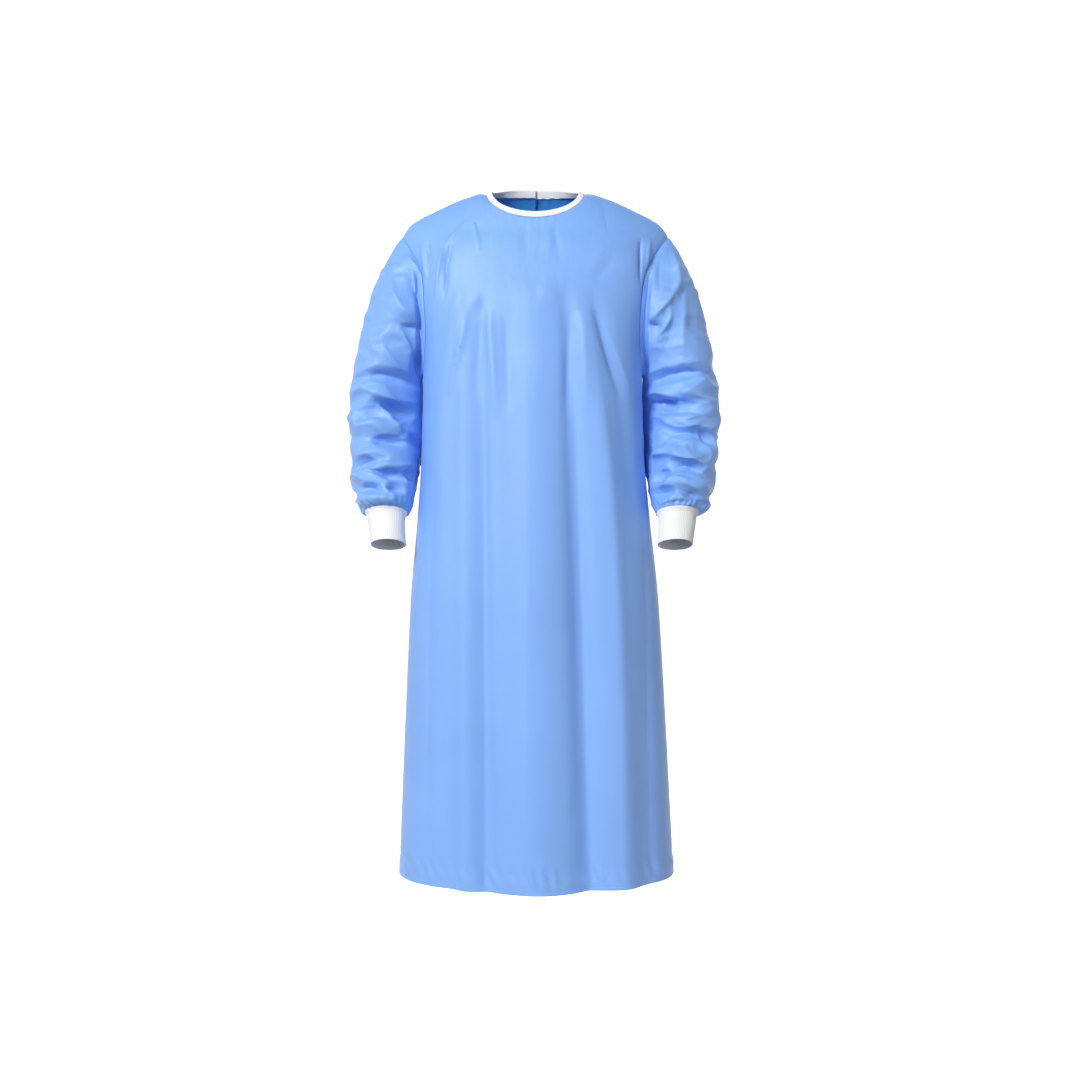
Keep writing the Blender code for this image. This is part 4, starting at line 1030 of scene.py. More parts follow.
def cloth_material(colour, settings):
    """Blue cloth: plain weave as two crossed waves, soft crumple as noise, a stitched line beside each
    seam, and painted shade on the inside face."""
    nodes = Nodes("gown_blue_cloth")
    uv = nodes.add("ShaderNodeUVMap", uv_map="cloth").outputs["UV"]
    place = nodes.add("ShaderNodeTexCoord").outputs["Object"]
    threads = {"Vector": uv, "Scale": WAVE_UNIT / settings.thread_pitch, "Distortion": 0.4, "Detail": 1.0}
    warp = nodes.add("ShaderNodeTexWave", threads, bands_direction="X").outputs["Fac"]
    weft = nodes.add("ShaderNodeTexWave", threads, bands_direction="Y").outputs["Fac"]
    weave = nodes.math("MULTIPLY", warp, weft)
    crumple = nodes.noise(place, *CRUMPLE[:3])
    fine = nodes.noise(place, *GRAIN[:3])
    seam = nodes.add("ShaderNodeAttribute", attribute_name="seam").outputs["Fac"]
    stitch_line = nodes.math("COMPARE", seam, settings.stitch_inset, STITCH_HALF_WIDTH)
    split = nodes.add("ShaderNodeSeparateXYZ", {"Vector": uv})
    both = nodes.math("ADD", split.outputs["X"], split.outputs["Y"])
    beat = nodes.math("SINE", nodes.math("MULTIPLY", both, 2.0 * math.pi / STITCH_PITCH))
    stitch = nodes.math("MULTIPLY", stitch_line, nodes.ramp(beat, -0.3, 0.3))
    hanging = nodes.add("ShaderNodeMapping", {"Vector": place, "Scale": STREAK_STRETCH}).outputs["Vector"]
    normal = nodes.bump(crumple, *CRUMPLE[3:])
    normal = nodes.bump(nodes.noise(hanging, *STREAKS[:3]), *STREAKS[3:], normal)
    normal = nodes.bump(fine, *GRAIN[3:], normal)
    normal = nodes.bump(weave, 0.00008, 0.5, normal)
    normal = nodes.bump(stitch_line, 0.0004, -0.8, normal)
    tone = nodes.ramp(nodes.noise(place, 5.0, 2.0), 0.3, 0.7)
    base = nodes.mix(tone, shade(colour, 0.97), shade(colour, 1.03))
    base = nodes.mix(nodes.math("MULTIPLY", weave, 0.10), base, shade(colour, 1.35))
    base = nodes.mix(nodes.math("MULTIPLY", stitch, 0.35), base, shade(colour, 1.5))
    inside = nodes.add("ShaderNodeAttribute", attribute_name="inside").outputs["Fac"]
    # Inside face: the cloth's colour cut most in red, a painted shade of the gown's interior
    inner = tuple(channel * share for channel, share in zip(colour, INSIDE_SHADE_SHARES)) + (1.0,)
    base = nodes.mix(inside, base, inner)
    nodes.set(Base_Color=base, Normal=normal, Roughness=0.50, Sheen_Weight=0.14, Sheen_Roughness=0.40)
    nodes.set(Specular_IOR_Level=0.55)
    return nodes.material


def knit_material(colour, settings):
    """White rib knit: fine rows of loops across the ribs, a soft nap, and painted shade that darkens the
    grooves between the ribs."""
    nodes = Nodes("gown_white_knit")
    uv = nodes.add("ShaderNodeUVMap", uv_map="cloth").outputs["UV"]
    place = nodes.add("ShaderNodeTexCoord").outputs["Object"]
    rows = nodes.add("ShaderNodeTexWave", {"Vector": uv, "Scale": WAVE_UNIT / KNIT_PITCH, "Distortion": 1.2,
                                           "Detail": 2.0}, bands_direction="Y").outputs["Fac"]
    nap = nodes.noise(place, *KNIT_NAP[:3])
    groove = nodes.add("ShaderNodeAttribute", attribute_name="groove").outputs["Fac"]
    normal = nodes.bump(rows, 0.00022, 0.6)
    normal = nodes.bump(nap, *KNIT_NAP[3:], normal)
    # Grooves between the ribs darkened: painted shade
    base = nodes.mix(nodes.math("MULTIPLY", groove, 0.5), tuple(colour[:3]) + (1.0,), shade(colour, 0.90))
    nodes.set(Base_Color=base, Normal=normal, Roughness=0.92, Sheen_Weight=0.25, Sheen_Roughness=0.6)
    return nodes.material


def tape_material(colour, settings):
    """White woven tape: a fine twill as slanted waves with a soft nap."""
    nodes = Nodes("gown_white_tape")
    uv = nodes.add("ShaderNodeUVMap", uv_map="cloth").outputs["UV"]
    place = nodes.add("ShaderNodeTexCoord").outputs["Object"]
    twill = nodes.add("ShaderNodeTexWave", {"Vector": uv, "Scale": WAVE_UNIT / TWILL_PITCH, "Distortion": 0.6,
                                            "Detail": 1.0}, bands_direction="DIAGONAL").outputs["Fac"]
    nap = nodes.noise(place, *TAPE_NAP[:3])
    normal = nodes.bump(twill, 0.00015, 0.5)
    normal = nodes.bump(nap, *TAPE_NAP[3:], normal)
    base = nodes.mix(nodes.math("MULTIPLY", twill, 0.15), tuple(colour[:3]) + (1.0,), shade(colour, 0.85))
    nodes.set(Base_Color=base, Normal=normal, Roughness=0.85, Sheen_Weight=0.15, Sheen_Roughness=0.5)
    return nodes.material


def stage_material(colour):
    """Pale studio paper with a trace of grain, lit a little of its own so that it stays an even white."""
    nodes = Nodes("studio_paper")
    place = nodes.add("ShaderNodeTexCoord").outputs["Object"]
    grain = nodes.noise(place, 3.0, 3.0)
    base = nodes.mix(grain, shade(colour, 0.985), tuple(colour[:3]) + (1.0,))
    nodes.set(Base_Color=base, Roughness=0.9, Emission_Color=(1.0, 1.0, 1.0, 1.0), Emission_Strength=0.90)
    return nodes.material


def material_of(kind):
    """The material of a kind, made once and then found by its name."""
    colours, settings = bpy.context.scene.gown_colours, bpy.context.scene.gown_sizes
    name, make, colour = {"cloth": ("gown_blue_cloth", cloth_material, colours.cloth),
                          "knit": ("gown_white_knit", knit_material, colours.knit),
                          "tape": ("gown_white_tape", tape_material, colours.tape)}[kind]
    return bpy.data.materials.get(name) or make(tuple(colour), settings)


def finish_piece(thing, node):
    """Hang the piece on the root body and hide the solid that it stands for."""
    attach(thing, "root")
    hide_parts(node)


def back_places(overlap):
    """Places of the fine columns of a back panel, with the overlap where it has one."""
    neck = np.linspace(0.0, 1.0, BACK_NECK_COLUMNS + 1)
    shoulder = 1.0 + np.linspace(0.0, 1.0, BACK_SHOULDER_COLUMNS + 1)[1:]
    if overlap:
        lap = np.linspace(-OVERLAP_NECK_SHARE, 0.0, BACK_OVERLAP_COLUMNS + 1)[:-1]
        return np.concatenate((lap, neck, shoulder))
    return np.concatenate((neck, shoulder))


def hem_gathers(x, down):
    """Small slanted puckers above the hem's stitch line and a step where the hem is folded up."""
    rise = down[-1:] - down
    rate, phase, middle, least = PUCKER_PATCHES
    waves = uneven_wave(x, PUCKER_WIDTH, *PUCKER_SWAY, rise * PUCKER_SLOPE)
    puckers = waves * np.abs(waves) * np.clip(np.sin(x * rate + phase) + middle, least, 1.0)
    height, half_width = HEM_STEP
    step = height * (1.0 - ease(HEM_DEPTH - half_width, HEM_DEPTH + half_width, rise))
    depth, width, below = HEM_GROOVE
    groove = -depth * bell(rise, width, HEM_DEPTH - below)
    return step + groove + PUCKER_HEIGHT * bell(rise, PUCKER_RISE, HEM_DEPTH) * puckers


def neck_gathers(x, down):
    """Tiny puckers that run down from the neck binding and die out."""
    height, length, fall, sway, sway_rate = NECK_PUCKERS
    steady, varied, rate, phase = NECK_PATCHES
    waves = uneven_wave(x, length, sway, sway_rate) * (steady + varied * np.sin(x * rate + phase))
    return height * waves * np.exp(-down / fall) * (np.abs(x) < NECK_HALF_WIDTH)


def sew_panel(name, node, sheet, creases, toward, seam_sides):
    """Make a body panel from its sheet: creases and puckers added along the normals, edges held at the
    seams."""
    settings = bpy.context.scene.gown_sizes
    outward = sheet * np.array((1.0, 1.0, 0.0))
    normals = sheet_normals(sheet, False, outward)
    along, down = arc_lengths(sheet)
    edges = [down]
    if "last" in seam_sides:
        edges.append(along[:, -1:] - along)
    if "first" in seam_sides:
        edges.append(along)
    seam = np.minimum.reduce([edge + np.zeros(down.shape) for edge in edges])
    hold = ease(0.0, PANEL_HOLD, seam)
    added = crease_heights(sheet, normals, creases, toward) * settings.crease_strength * hold
    added += hem_gathers(sheet[..., 0], down) + neck_gathers(sheet[..., 0], down)
    added -= PANEL_ROLL[0] * bell(seam, PANEL_ROLL[1])
    sheet = sheet + normals * (added + settings.cloth_thickness / 2)[..., None]
    normals = sheet_normals(sheet, False, outward)
    along, down = arc_lengths(sheet)
    middle = along[:, along.shape[1] // 2][:, None]
    thing = wall_object(name, sheet, normals, settings.cloth_thickness, False, material_of("cloth"),
                        grid_uv(along - middle, down, False), (("seam", np.minimum(seam, down[-1:] - down)),))
    finish_piece(thing, node)
    return thing


class GownSizes(PropertyGroup):
    """Sizes that a user would change."""
    cloth_thickness: FloatProperty(name="Cloth thickness", description="Thickness of the blue cloth",
                                   default=0.0008, min=0.0003, max=0.002, subtype="DISTANCE", unit="LENGTH")
    thread_pitch: FloatProperty(name="Thread pitch", description="Distance between the threads of the cloth",
                                default=0.0005, min=0.0002, max=0.002, subtype="DISTANCE", unit="LENGTH")
    stitch_inset: FloatProperty(name="Stitch inset",
                                description="Distance of the stitched line from its seam",
                                default=0.0055, min=0.002, max=0.02, subtype="DISTANCE", unit="LENGTH")
    crease_strength: FloatProperty(name="Crease strength",
                                   description="Factor on the height of the fine creases",
                                   default=1.0, min=0.0, max=2.0, subtype="FACTOR")
    rib_count: IntProperty(name="Cuff ribs", description="Ribs round each knit cuff",
                           default=58, min=20, max=90)


class GownColours(PropertyGroup):
    """Colours that a user would change."""
    cloth: FloatVectorProperty(name="Cloth", description="Colour of the cloth", subtype="COLOR", size=3,
                               min=0.0, max=1.0, default=(0.206, 0.420, 0.905))
    knit: FloatVectorProperty(name="Knit", description="Colour of the knit cuffs", subtype="COLOR", size=3,
                              min=0.0, max=1.0, default=(0.940, 0.940, 0.945))
    tape: FloatVectorProperty(name="Tape", description="Colour of the binding and ties",
                               subtype="COLOR", size=3,
                              min=0.0, max=1.0, default=(0.940, 0.940, 0.945))
    stage: FloatVectorProperty(name="Stage", description="Colour of the floor", subtype="COLOR", size=3,
                               min=0.0, max=1.0, default=(0.92, 0.92, 0.92))


class GOWN_OT_panels(Operator):
    """Make the front and the two back panels"""
    bl_idname = "gown.panels"
    bl_label = "Body panels"

    def execute(self, context):
        heights = panel_rows()
        places = np.concatenate((np.linspace(0.0, 1.0, FRONT_NECK_COLUMNS + 1),
                                 1.0 + np.linspace(0.0, 1.0, FRONT_SHOULDER_COLUMNS + 1)[1:]))
        left = panel_sheet(False, 1.0, places, heights)
        right = panel_sheet(False, -1.0, places, heights)
        front = sew_panel("gown_front", "front", np.concatenate((right[:, ::-1], left[:, 1:]), axis=1),
                          CHEST_CREASES, -1.0, ("first", "last"))
        back_left = sew_panel("gown_back_left", "back_left",
                              panel_sheet(True, 1.0, back_places(True), heights, LAYER_OFFSET,
                                          LEFT_LAYER_RAMP),
                              BACK_CREASES, 1.0, ("last",))
        back_right = sew_panel("gown_back_right", "back_right",
                               panel_sheet(True, -1.0, back_places(False), heights, -LAYER_OFFSET,
                                           RIGHT_LAYER_RAMP), BACK_CREASES, 1.0, ("last",))
        return {"FINISHED"}


def mirrored_creases(table):
    """The other sleeve's creases for the back of a sleeve: turned left to right, lowered and flattened."""
    return [(-x0, z0 - BACK_SHIFT, -x1, z1 - BACK_SHIFT, -x2, z2 - BACK_SHIFT, size * BACK_SHARE, right, left)
            for x0, z0, x1, z1, x2, z2, size, left, right in table]


def cuff_gathers(turn, rise):
    """Gathers at the end of a sleeve: an uneven sine round the arm times a bell over the cuff."""
    count, sway, sway_rate = GATHER_WAVES
    steady, varied, rate, phase = GATHER_PATCHES
    angle = turn * np.pi
    waves = np.sin(angle * count + sway * np.sin(angle * sway_rate))
    waves = waves * (steady + varied * np.sin(angle * rate + phase))
    return GATHER_HEIGHT * waves * bell(rise, GATHER_PLACE[1], GATHER_PLACE[0])


def sleeve_rolls(turn, z, down, rise):
    """Height of the rolled seams at both ends, the trough beside the armhole and the fullness under the
    arm."""
    depth, width, cuff_depth, cuff_width = SLEEVE_ROLLS
    rolls = -depth * bell(down, width) - cuff_depth * bell(rise, cuff_width)
    front_turn = np.minimum(turn, 2.0 - turn)
    beside = ease(*TROUGH_TURNS[:2], front_turn) * (1.0 - ease(*TROUGH_TURNS[2:], front_turn))
    depth, middle, width = ARMHOLE_TROUGH
    rolls = rolls - depth * beside * bell(down, width, middle)
    size, middle, half_height, span = ARMPIT_FILL
    return rolls + size * bell(z, half_height, middle) * bell(turn, span, 1.0)


class GOWN_OT_sleeves(Operator):
    """Make the two sleeves"""
    bl_idname = "gown.sleeves"
    bl_label = "Sleeves"

    def execute(self, context):
        settings = context.scene.gown_sizes
        turn = np.arange(2 * SLEEVE_HALF_COLUMNS) / SLEEVE_HALF_COLUMNS
        free = ease(0.0, FOLD_FREE_WIDTH, np.abs(turn - 1.0))
        for name, side, forearm, folds, creases, other, crease_seed, pocket_seed in SLEEVES:
            sheet = sleeve_sheet(side, forearm, turn)
            outward = sheet - sheet.mean(axis=1, keepdims=True)
            normals = sheet_normals(sheet, True, outward)
            down = arc_lengths(sheet)[1]
            rise = down[-1:] - down
            ends = ease(0.0, SLEEVE_FOLD_ENDS[0], down) * ease(0.0, SLEEVE_FOLD_ENDS[1], rise)
            sheet = sheet + normals * (sleeve_folds(folds, turn, sheet[..., 2]) * ends)[..., None]
            normals = sheet_normals(sheet, True, outward)
            small = scattered_creases(crease_seed, sorted(side * place for place in SMALL_ACROSS))
            heights = crease_heights(sheet, normals, list(creases) + small, -1.0)
            heights += crease_heights(sheet, normals, mirrored_creases(other) + small, 1.0)
            middles = drawn_pockets(pocket_seeds(creases, sheet, normals, turn, side), pocket_seed)
            heights += pocket_heights(turn, sheet[..., 2], middles) * ease(0.0, POCKET_START, down)
            hold = ease(0.0, SLEEVE_HOLD[0], down) * ease(0.0, SLEEVE_HOLD[1], rise)
            hold = hold * (SLEEVE_INNER_SHARE + (1.0 - SLEEVE_INNER_SHARE) * free)
            added = heights * hold * settings.crease_strength
            added = added + cuff_gathers(turn, rise) * ease(0.0, GATHER_FREE, free)
            added = added + sleeve_rolls(turn, sheet[..., 2], down, rise)
            sheet = sheet + normals * (added + settings.cloth_thickness / 2)[..., None]
            normals = sheet_normals(sheet, True, outward)
            along, down = arc_lengths(sheet)
            thing = wall_object("gown_sleeve_" + name, sheet, normals, settings.cloth_thickness, True,
                                material_of("cloth"), grid_uv(along, down, True), (("seam", down),))
            finish_piece(thing, "sleeve_" + name)
        return {"FINISHED"}


class GOWN_OT_cuffs(Operator):
    """Make the two rib knit cuffs"""
    bl_idname = "gown.cuffs"
    bl_label = "Knit cuffs"

    def execute(self, context):
        settings = context.scene.gown_sizes
        columns = settings.rib_count * RIB_COLUMNS
        turn = np.arange(columns) * 2.0 / columns
        for name, side, forearm in (("left", 1.0, LEFT_FOREARM), ("right", -1.0, RIGHT_FOREARM)):
            top = forearm_ring(forearm, side, forearm[-1][0], turn)
            tilt, lean = np.radians(CUFF_TILT), np.radians(CUFF_LEAN)
            axis = np.array((-side * np.sin(lean), -np.sin(tilt), -np.cos(tilt)))
            axis /= np.linalg.norm(axis)
            middle = top.mean(axis=0)
            away = top - middle
            radius = np.linalg.norm(away, axis=-1, keepdims=True)
            along = np.linspace(0.0, CUFF_PROFILE[-1][0], CUFF_FINE_ROWS + 1)[:, None, None]
            wanted = read(CUFF_PROFILE, 1, along)
            keep = np.clip(1.0 - along / CUFF_PROFILE[1][0], 0.0, 1.0)
            sheet = middle + axis * along + away / radius * (wanted + (radius - wanted[0]) * keep)
            outward = sheet - sheet.mean(axis=1, keepdims=True)
            normals = sheet_normals(sheet, True, outward)
            end = along[..., 0]
            above = CUFF_PROFILE[-1][0] - end
            rib = np.cos(turn * np.pi * settings.rib_count)
            height, turns, phase, rate = CUFF_SWELL
            swell = height * np.sin(turn * np.pi * turns + phase) * np.sin(end * rate)
            height, width, place = CUFF_HEM
            hem = height * bell(above, width, place)
            kept = RIB_EDGE_SHARE + (1.0 - RIB_EDGE_SHARE) * ease(0.0, CUFF_EDGE, above)
            sheet = sheet + normals * (RIB_HEIGHT * rib * kept + swell + hem)[..., None]
            normals = sheet_normals(sheet, True, outward)
            along, down = arc_lengths(sheet)
            # Mask of the grooves between the ribs, where the knit material paints shade
            groove = np.broadcast_to(0.5 - 0.5 * rib, sheet.shape[:2])
            thing = wall_object("gown_cuff_" + name, sheet, normals, KNIT_THICKNESS, True,
                                material_of("knit"), grid_uv(along, down, True), (("groove", groove),))
            finish_piece(thing, "cuff_" + name)
        return {"FINISHED"}


class GOWN_OT_binding(Operator):
    """Make the folded tape round the neck edge"""
    bl_idname = "gown.binding"
    bl_label = "Neck binding"

    def execute(self, context):
        top = np.array((float(shoulder_height(ARMHOLE_TOP_X)), ARMHOLE_BOTTOM))
        around = np.linspace(0.0, 1.0, BINDING_COLUMNS + 1)
        lap = np.linspace(0.0, -OVERLAP_NECK_SHARE, BINDING_LAP_COLUMNS + 1)[1:]
        right = panel_sheet(True, -1.0, around, top, -LAYER_OFFSET, RIGHT_LAYER_RAMP)[0]
        ahead_right = panel_sheet(False, -1.0, around[:-1], top)[0, ::-1]
        ahead_left = panel_sheet(False, 1.0, around[1:-1], top)[0]
        around_left = np.concatenate((around[::-1], lap))
        left = panel_sheet(True, 1.0, around_left, top, LAYER_OFFSET, LEFT_LAYER_RAMP)[0]
        edge = np.concatenate((right, ahead_right, ahead_left, left))
        for _ in range(BINDING_SMOOTHING):
            edge[1:-1] = (edge[:-2] + 2.0 * edge[1:-1] + edge[2:]) / 4
        inward = NECK_MIDDLE - edge
        inward[:, 2] = 0.0
        inward /= np.linalg.norm(inward, axis=-1, keepdims=True)
        beside = np.clip(np.abs(edge[:, :1]) / NECK_HALF_WIDTH, 0.0, 1.0) ** BINDING_SIDE_POWER
        up = inward * (BINDING_LEAN + (BINDING_SIDE_LEAN - BINDING_LEAN) * beside) + np.array((0.0, 0.0, 1.0))
        up /= np.linalg.norm(up, axis=-1, keepdims=True)
        share = np.linspace(1.0, 0.0, BINDING_FINE_ROWS + 1)[:, None, None]
        taller = 1.0 + BINDING_BACK_RISE * ease(0.0, float(edge[:, 1].max()), edge[:, 1:2])
        sheet = edge + up * (BINDING_FOOT + (BINDING_HEIGHT * taller - BINDING_FOOT) * share)
        normals = sheet_normals(sheet, False, sheet * np.array((1.0, 1.0, 0.0)))
        along, down = arc_lengths(sheet)
        rise = share[..., 0]
        start, least = BINDING_ROUND
        beyond = np.clip((rise - start) / (1.0 - start), 0.0, 1.0)
        round_top = np.sqrt(np.clip(1.0 - beyond ** 2, least, 1.0))
        fullness, foot = BINDING_FOOT_ROUND
        round_foot = fullness + (1.0 - fullness) * ease(0.0, foot, rise)
        depth, middle, width, steady = BINDING_STITCH
        beat = steady + (1.0 - steady) * np.sin(along * 2.0 * np.pi / STITCH_PITCH)
        stitch = depth * bell(rise, width, middle) * beat
        height, length, sway, sway_rate = BINDING_WAVE
        waves = height * uneven_wave(along, length, sway, sway_rate)
        full = round_top * round_foot - stitch + waves * round_top
        wall = wall_arrays(sheet, normals * full[..., None], TAPE_FOLDED, False, grid_uv(along, down, False))
        thing = add_object("gown_neck_binding", [wall], material_of("tape"))
        finish_piece(thing, "neck_binding")
        return {"FINISHED"}


def on_sheet(sheet, normals, angle, z, height):
    """Points a height above a sheet at angles from the centre back and heights z: the nearest point of the
    grid, moved along its level and rising tangents to the wanted place, then out along its normal."""
    points, facing = sheet.reshape(-1, 3), normals.reshape(-1, 3)
    radius = np.hypot(points[:, 0], points[:, 1])
    turn = np.arctan2(points[:, 0], points[:, 1])
    shape = np.broadcast(angle, z, height).shape
    angle, z, height = (np.broadcast_to(value, shape).ravel() for value in (angle, z, height))
    away = ((turn - angle[:, None]) * radius) ** 2 + (points[:, 2] - z[:, None]) ** 2
    nearest = np.argmin(away, axis=1)
    base, normal = points[nearest], facing[nearest]
    level = np.cross(normal, (0.0, 0.0, 1.0))
    level /= np.linalg.norm(level, axis=-1, keepdims=True)
    rising = np.cross(level, normal)
    base = base + rising * ((z - base[:, 2]) / rising[:, 2])[:, None]
    azimuth = np.stack((np.cos(angle), -np.sin(angle), np.zeros(len(angle))), axis=-1)
    off = (angle - np.arctan2(base[:, 0], base[:, 1])) * np.hypot(base[:, 0], base[:, 1])
    base = base + level * (off / np.sum(level * azimuth, axis=-1))[:, None]
    return (base + normal * height[:, None]).reshape(shape + (3,))


def smooth_sheet(sheet, rounds):
    """A sheet with each inner point moved to the mean of its neighbours, a number of times."""
    sheet = sheet.copy()
    for _ in range(rounds):
        sheet[1:-1, 1:-1] = (sheet[:-2, 1:-1] + sheet[2:, 1:-1] + sheet[1:-1, :-2] + sheet[1:-1, 2:]) / 4
    return sheet


def ribbon(sheet, thickness, closed=False, outward=None):
    """Wall arrays of a strip of tape about a sheet of its points."""
    if outward is None:
        outward = sheet * np.array((1.0, 1.0, 0.0))
    normals = sheet_normals(sheet, closed, outward)
    along, down = arc_lengths(sheet)
    return wall_arrays(sheet, normals, thickness, closed, grid_uv(along, down, closed))


class GOWN_OT_ties(Operator):
    """Make the two pairs of tie tapes on the back and their knots"""
    bl_idname = "gown.ties"
    bl_label = "Tie tapes"

    def execute(self, context):
        under = panel_sheet(True, -1.0, back_places(False), panel_rows(), -LAYER_OFFSET, RIGHT_LAYER_RAMP)
        under = smooth_sheet(under, 6)
        facing = sheet_normals(under, False, under * np.array((1.0, 1.0, 0.0)))
        for label, z, width, tail, left_height, right_height, left_end, knot_at, right_end in TIES:
            knot_angle = math.radians(knot_at)
            middle = on_sheet(under, facing, -knot_angle, z, KNOT_CLEARANCE)
            radius = float(np.hypot(middle[0], middle[1]))
            half = (KNOT_HALF_LENGTH - TAPE_UNDER_KNOT) / radius
            across = np.linspace(0.5, -0.5, TAPE_ACROSS)[:, None]
            share = np.linspace(0.0, 1.0, TAPE_COLUMNS + 1)
            pinch = 1.0 - TAPE_PINCH[0] * ease(TAPE_PINCH[1], 1.0, share)
            ends = (("left", math.radians(left_end), knot_angle - half, left_height),
                    ("right", math.radians(right_end), knot_angle + half, right_height))
            for side_name, start, stop, low in ends:
                heights = low + (KNOT_CLEARANCE - low) * ease(TIE_RISE[0], TIE_RISE[1], share)
                size, along_rate, level_rate, pinched, across_rate = TAPE_BOW
                bow = size * across * np.sin(share * along_rate + z * level_rate)
                bow = bow + pinched * (1.0 - pinch) * np.cos(across * across_rate)
                sheet = on_sheet(under, facing, -(start + (stop - start) * share), z + across * width * pinch,
                                 heights + bow)
                thing = add_object("gown_%s_tie_%s" % (label, side_name), [ribbon(sheet, TAPE_THICKNESS)],
                                   material_of("tape"))
                finish_piece(thing, "%s_tie_%s" % (label, side_name))
                length = float(arc_lengths(sheet)[0].mean(axis=0)[-1])
            parts = []
            for side, length in ((-1.0, tail), (1.0, tail * RIGHT_TAIL_SHARE)):
                drop = np.linspace(0.0, 1.0, TAIL_ROWS + 1)[:, None]
                offset = read(TAIL_SECTIONS, 1, drop) * side
                size, rate, level_rate = TAIL_SWAY
                sway = size * np.sin(drop * rate + side + z * level_rate) * drop
                narrow = TAIL_NARROW[0] + (1.0 - TAIL_NARROW[0]) * ease(0.0, TAIL_NARROW[1], drop)
                across = np.linspace(-0.5, 0.5, TAPE_ACROSS)[None, :]
                spread = offset + sway + across * width * narrow
                level = z - KNOT_HALF_HEIGHT * TAIL_START
                level = level - drop * (length + KNOT_HALF_HEIGHT * (1.0 - TAIL_START))
                size, rate, across_rate, edge_rate = TAIL_CURL
                curl = np.sin(drop * rate + side) + np.cos(across * across_rate) * np.sin(drop * edge_rate)
                lift = read(TAIL_SECTIONS, 4, drop) + size * curl
                sheet = on_sheet(under, facing, -knot_angle + spread / radius, level, lift)
                parts.append(ribbon(sheet, TAPE_THICKNESS))
            parts += knot_parts(under, facing, knot_angle, z, radius, width)
            thing = add_object("gown_%s_knot" % label, parts, material_of("tape"))
            finish_piece(thing, "%s_knot" % label)
            length = tail * (1.0 + RIGHT_TAIL_SHARE) + KNOT_TAPE
        return {"FINISHED"}


def knot_parts(under, facing, knot_angle, z, radius, width):
    """Wall arrays of a knot: a rounded core as a flattened ball, and two slanted bands of tape wrapped
    round it."""
    parts = []
    for tilt, half_width, swell in KNOT_BANDS:
        turn = np.linspace(0.0, 2.0 * np.pi, KNOT_COLUMNS + 1)[:-1]
        across = np.linspace(-1.0, 1.0, KNOT_ROWS + 1)[:, None]
        close = 1.0 - KNOT_BAND_WAIST * across ** 2
        if tilt == 0.0:
            close = np.sqrt(np.clip(1.0 - across ** 2, KNOT_CORE_LEAST, 1.0))
        rise = np.sin(turn) * KNOT_HALF_HEIGHT * swell * close
        out = np.cos(turn) * (KNOT_THICKNESS / 2 - KNOT_INSET) * swell * close
        side = across * half_width + tilt * rise
        sheet = on_sheet(under, facing, -knot_angle + side / radius, z + rise, KNOT_CLEARANCE + out)
        parts.append(ribbon(sheet, KNOT_SKIN, True, sheet - sheet.mean(axis=(0, 1))))
    return parts


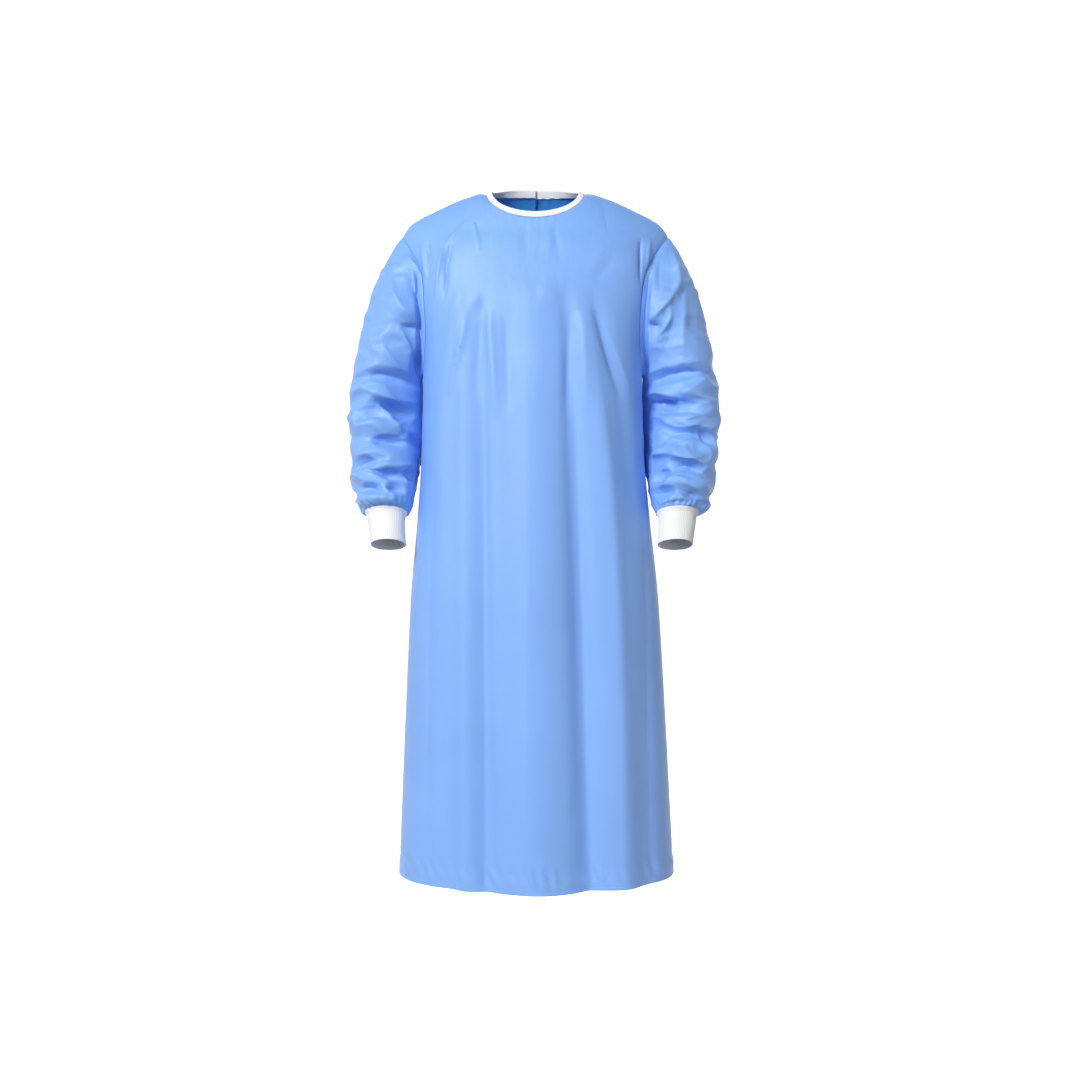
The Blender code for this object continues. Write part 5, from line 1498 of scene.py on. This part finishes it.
class GOWN_OT_stage(Operator):
    """Make the floor, the lights and the camera"""
    bl_idname = "gown.stage"
    bl_label = "Stage"

    def execute(self, context):
        scene = context.scene
        turn = np.linspace(0.0, 2.0 * np.pi, STAGE_COLUMNS + 1)[:-1]
        bend = np.linspace(0.0, np.pi / 2, STAGE_BEND_ROWS)
        radius = np.concatenate(((STAGE_MIDDLE, STAGE_RADIUS / 2), STAGE_RADIUS + STAGE_BEND * np.sin(bend),
                                 (STAGE_RADIUS + STAGE_BEND,)))[:, None]
        rise = np.concatenate(((0.0, 0.0), STAGE_BEND * (1.0 - np.cos(bend)), (STAGE_RISE,)))[:, None]
        sheet = np.stack((radius * np.cos(turn), radius * np.sin(turn), STAGE_FLOOR + rise + 0.0 * turn),
                         axis=-1)
        number = np.arange(sheet[..., 0].size).reshape(sheet.shape[:2])
        number = np.concatenate((number, number[:, :1]), axis=1)
        quads = np.stack((number[:-1, :-1], number[1:, :-1], number[1:, 1:], number[:-1, 1:]), axis=-1)
        mesh = bpy.data.meshes.new("floor")
        mesh.from_pydata(sheet.reshape(-1, 3), [], quads.reshape(-1, 4))
        mesh.shade_smooth()
        mesh.materials.append(stage_material(tuple(scene.gown_colours.stage)))
        floor = bpy.data.objects.new("floor", mesh)
        floor.visible_diffuse = False
        scene.collection.objects.link(floor)
        for name, place, aim, size, power, colour in LIGHTS:
            light = bpy.data.lights.new(name, "AREA")
            light.shape = "SQUARE"
            light.size = size
            light.energy = power
            light.color = colour
            thing = bpy.data.objects.new(name, light)
            thing.location = place
            toward = np.array(aim) - np.array(place)
            thing.rotation_euler = (math.acos(-toward[2] / np.linalg.norm(toward)), 0.0,
                                    math.atan2(toward[1], toward[0]) - math.pi / 2)
            scene.collection.objects.link(thing)
        world = bpy.data.worlds.new("studio")
        world.use_nodes = True
        tree = world.node_tree
        where = tree.nodes.new("ShaderNodeTexCoord")
        split = tree.nodes.new("ShaderNodeSeparateXYZ")
        blend = tree.nodes.new("ShaderNodeMapRange")
        blend.inputs["From Min"].default_value = -1.0
        blend.inputs["To Min"].default_value = SKY_BELOW
        blend.inputs["To Max"].default_value = SKY_ABOVE
        tree.links.new(where.outputs["Generated"], split.inputs[0])
        tree.links.new(split.outputs["Z"], blend.inputs["Value"])
        tree.links.new(blend.outputs["Result"], tree.nodes["Background"].inputs["Strength"])
        tree.nodes["Background"].inputs["Color"].default_value = SKY_COLOUR
        scene.world = world
        lens = bpy.data.cameras.new("camera")
        lens.lens = CAMERA_LENS
        lens.clip_end = CAMERA_FAR
        lens.dof.use_dof = False
        camera = bpy.data.objects.new("camera", lens)
        camera.location = CAMERA_PLACE
        camera.rotation_euler = (math.pi / 2, 0.0, 0.0)
        scene.collection.objects.link(camera)
        scene.camera = camera
        scene.view_settings.view_transform = "Standard"
        return {"FINISHED"}


OPERATORS = (GOWN_OT_panels, GOWN_OT_sleeves, GOWN_OT_cuffs, GOWN_OT_binding, GOWN_OT_ties, GOWN_OT_stage)


class GOWN_PT_panel(Panel):
    """Buttons for the pieces, the stage, the sizes and the colours"""
    bl_idname = "GOWN_PT_panel"
    bl_label = "Surgical gown"
    bl_space_type = "VIEW_3D"
    bl_region_type = "UI"
    bl_category = "Gown"

    def draw(self, context):
        for operator in OPERATORS:
            self.layout.operator(operator.bl_idname)
        for group in (context.scene.gown_sizes, context.scene.gown_colours):
            for name in group.__annotations__:
                self.layout.prop(group, name)


CLASSES = (GownSizes, GownColours) + OPERATORS + (GOWN_PT_panel,)


def register():
    """Register the classes and hang the two property groups on the scene."""
    for kind in CLASSES:
        bpy.utils.register_class(kind)
    bpy.types.Scene.gown_sizes = PointerProperty(type=GownSizes)
    bpy.types.Scene.gown_colours = PointerProperty(type=GownColours)


def unregister():
    """Take the property groups off the scene and unregister the classes."""
    del bpy.types.Scene.gown_colours
    del bpy.types.Scene.gown_sizes
    for kind in reversed(CLASSES):
        bpy.utils.unregister_class(kind)


def main():
    """Build every piece and the stage."""
    register()
    bpy.ops.gown.panels()
    bpy.ops.gown.sleeves()
    bpy.ops.gown.cuffs()
    bpy.ops.gown.binding()
    bpy.ops.gown.ties()
    bpy.ops.gown.stage()


if __name__ == "__main__":
    main()
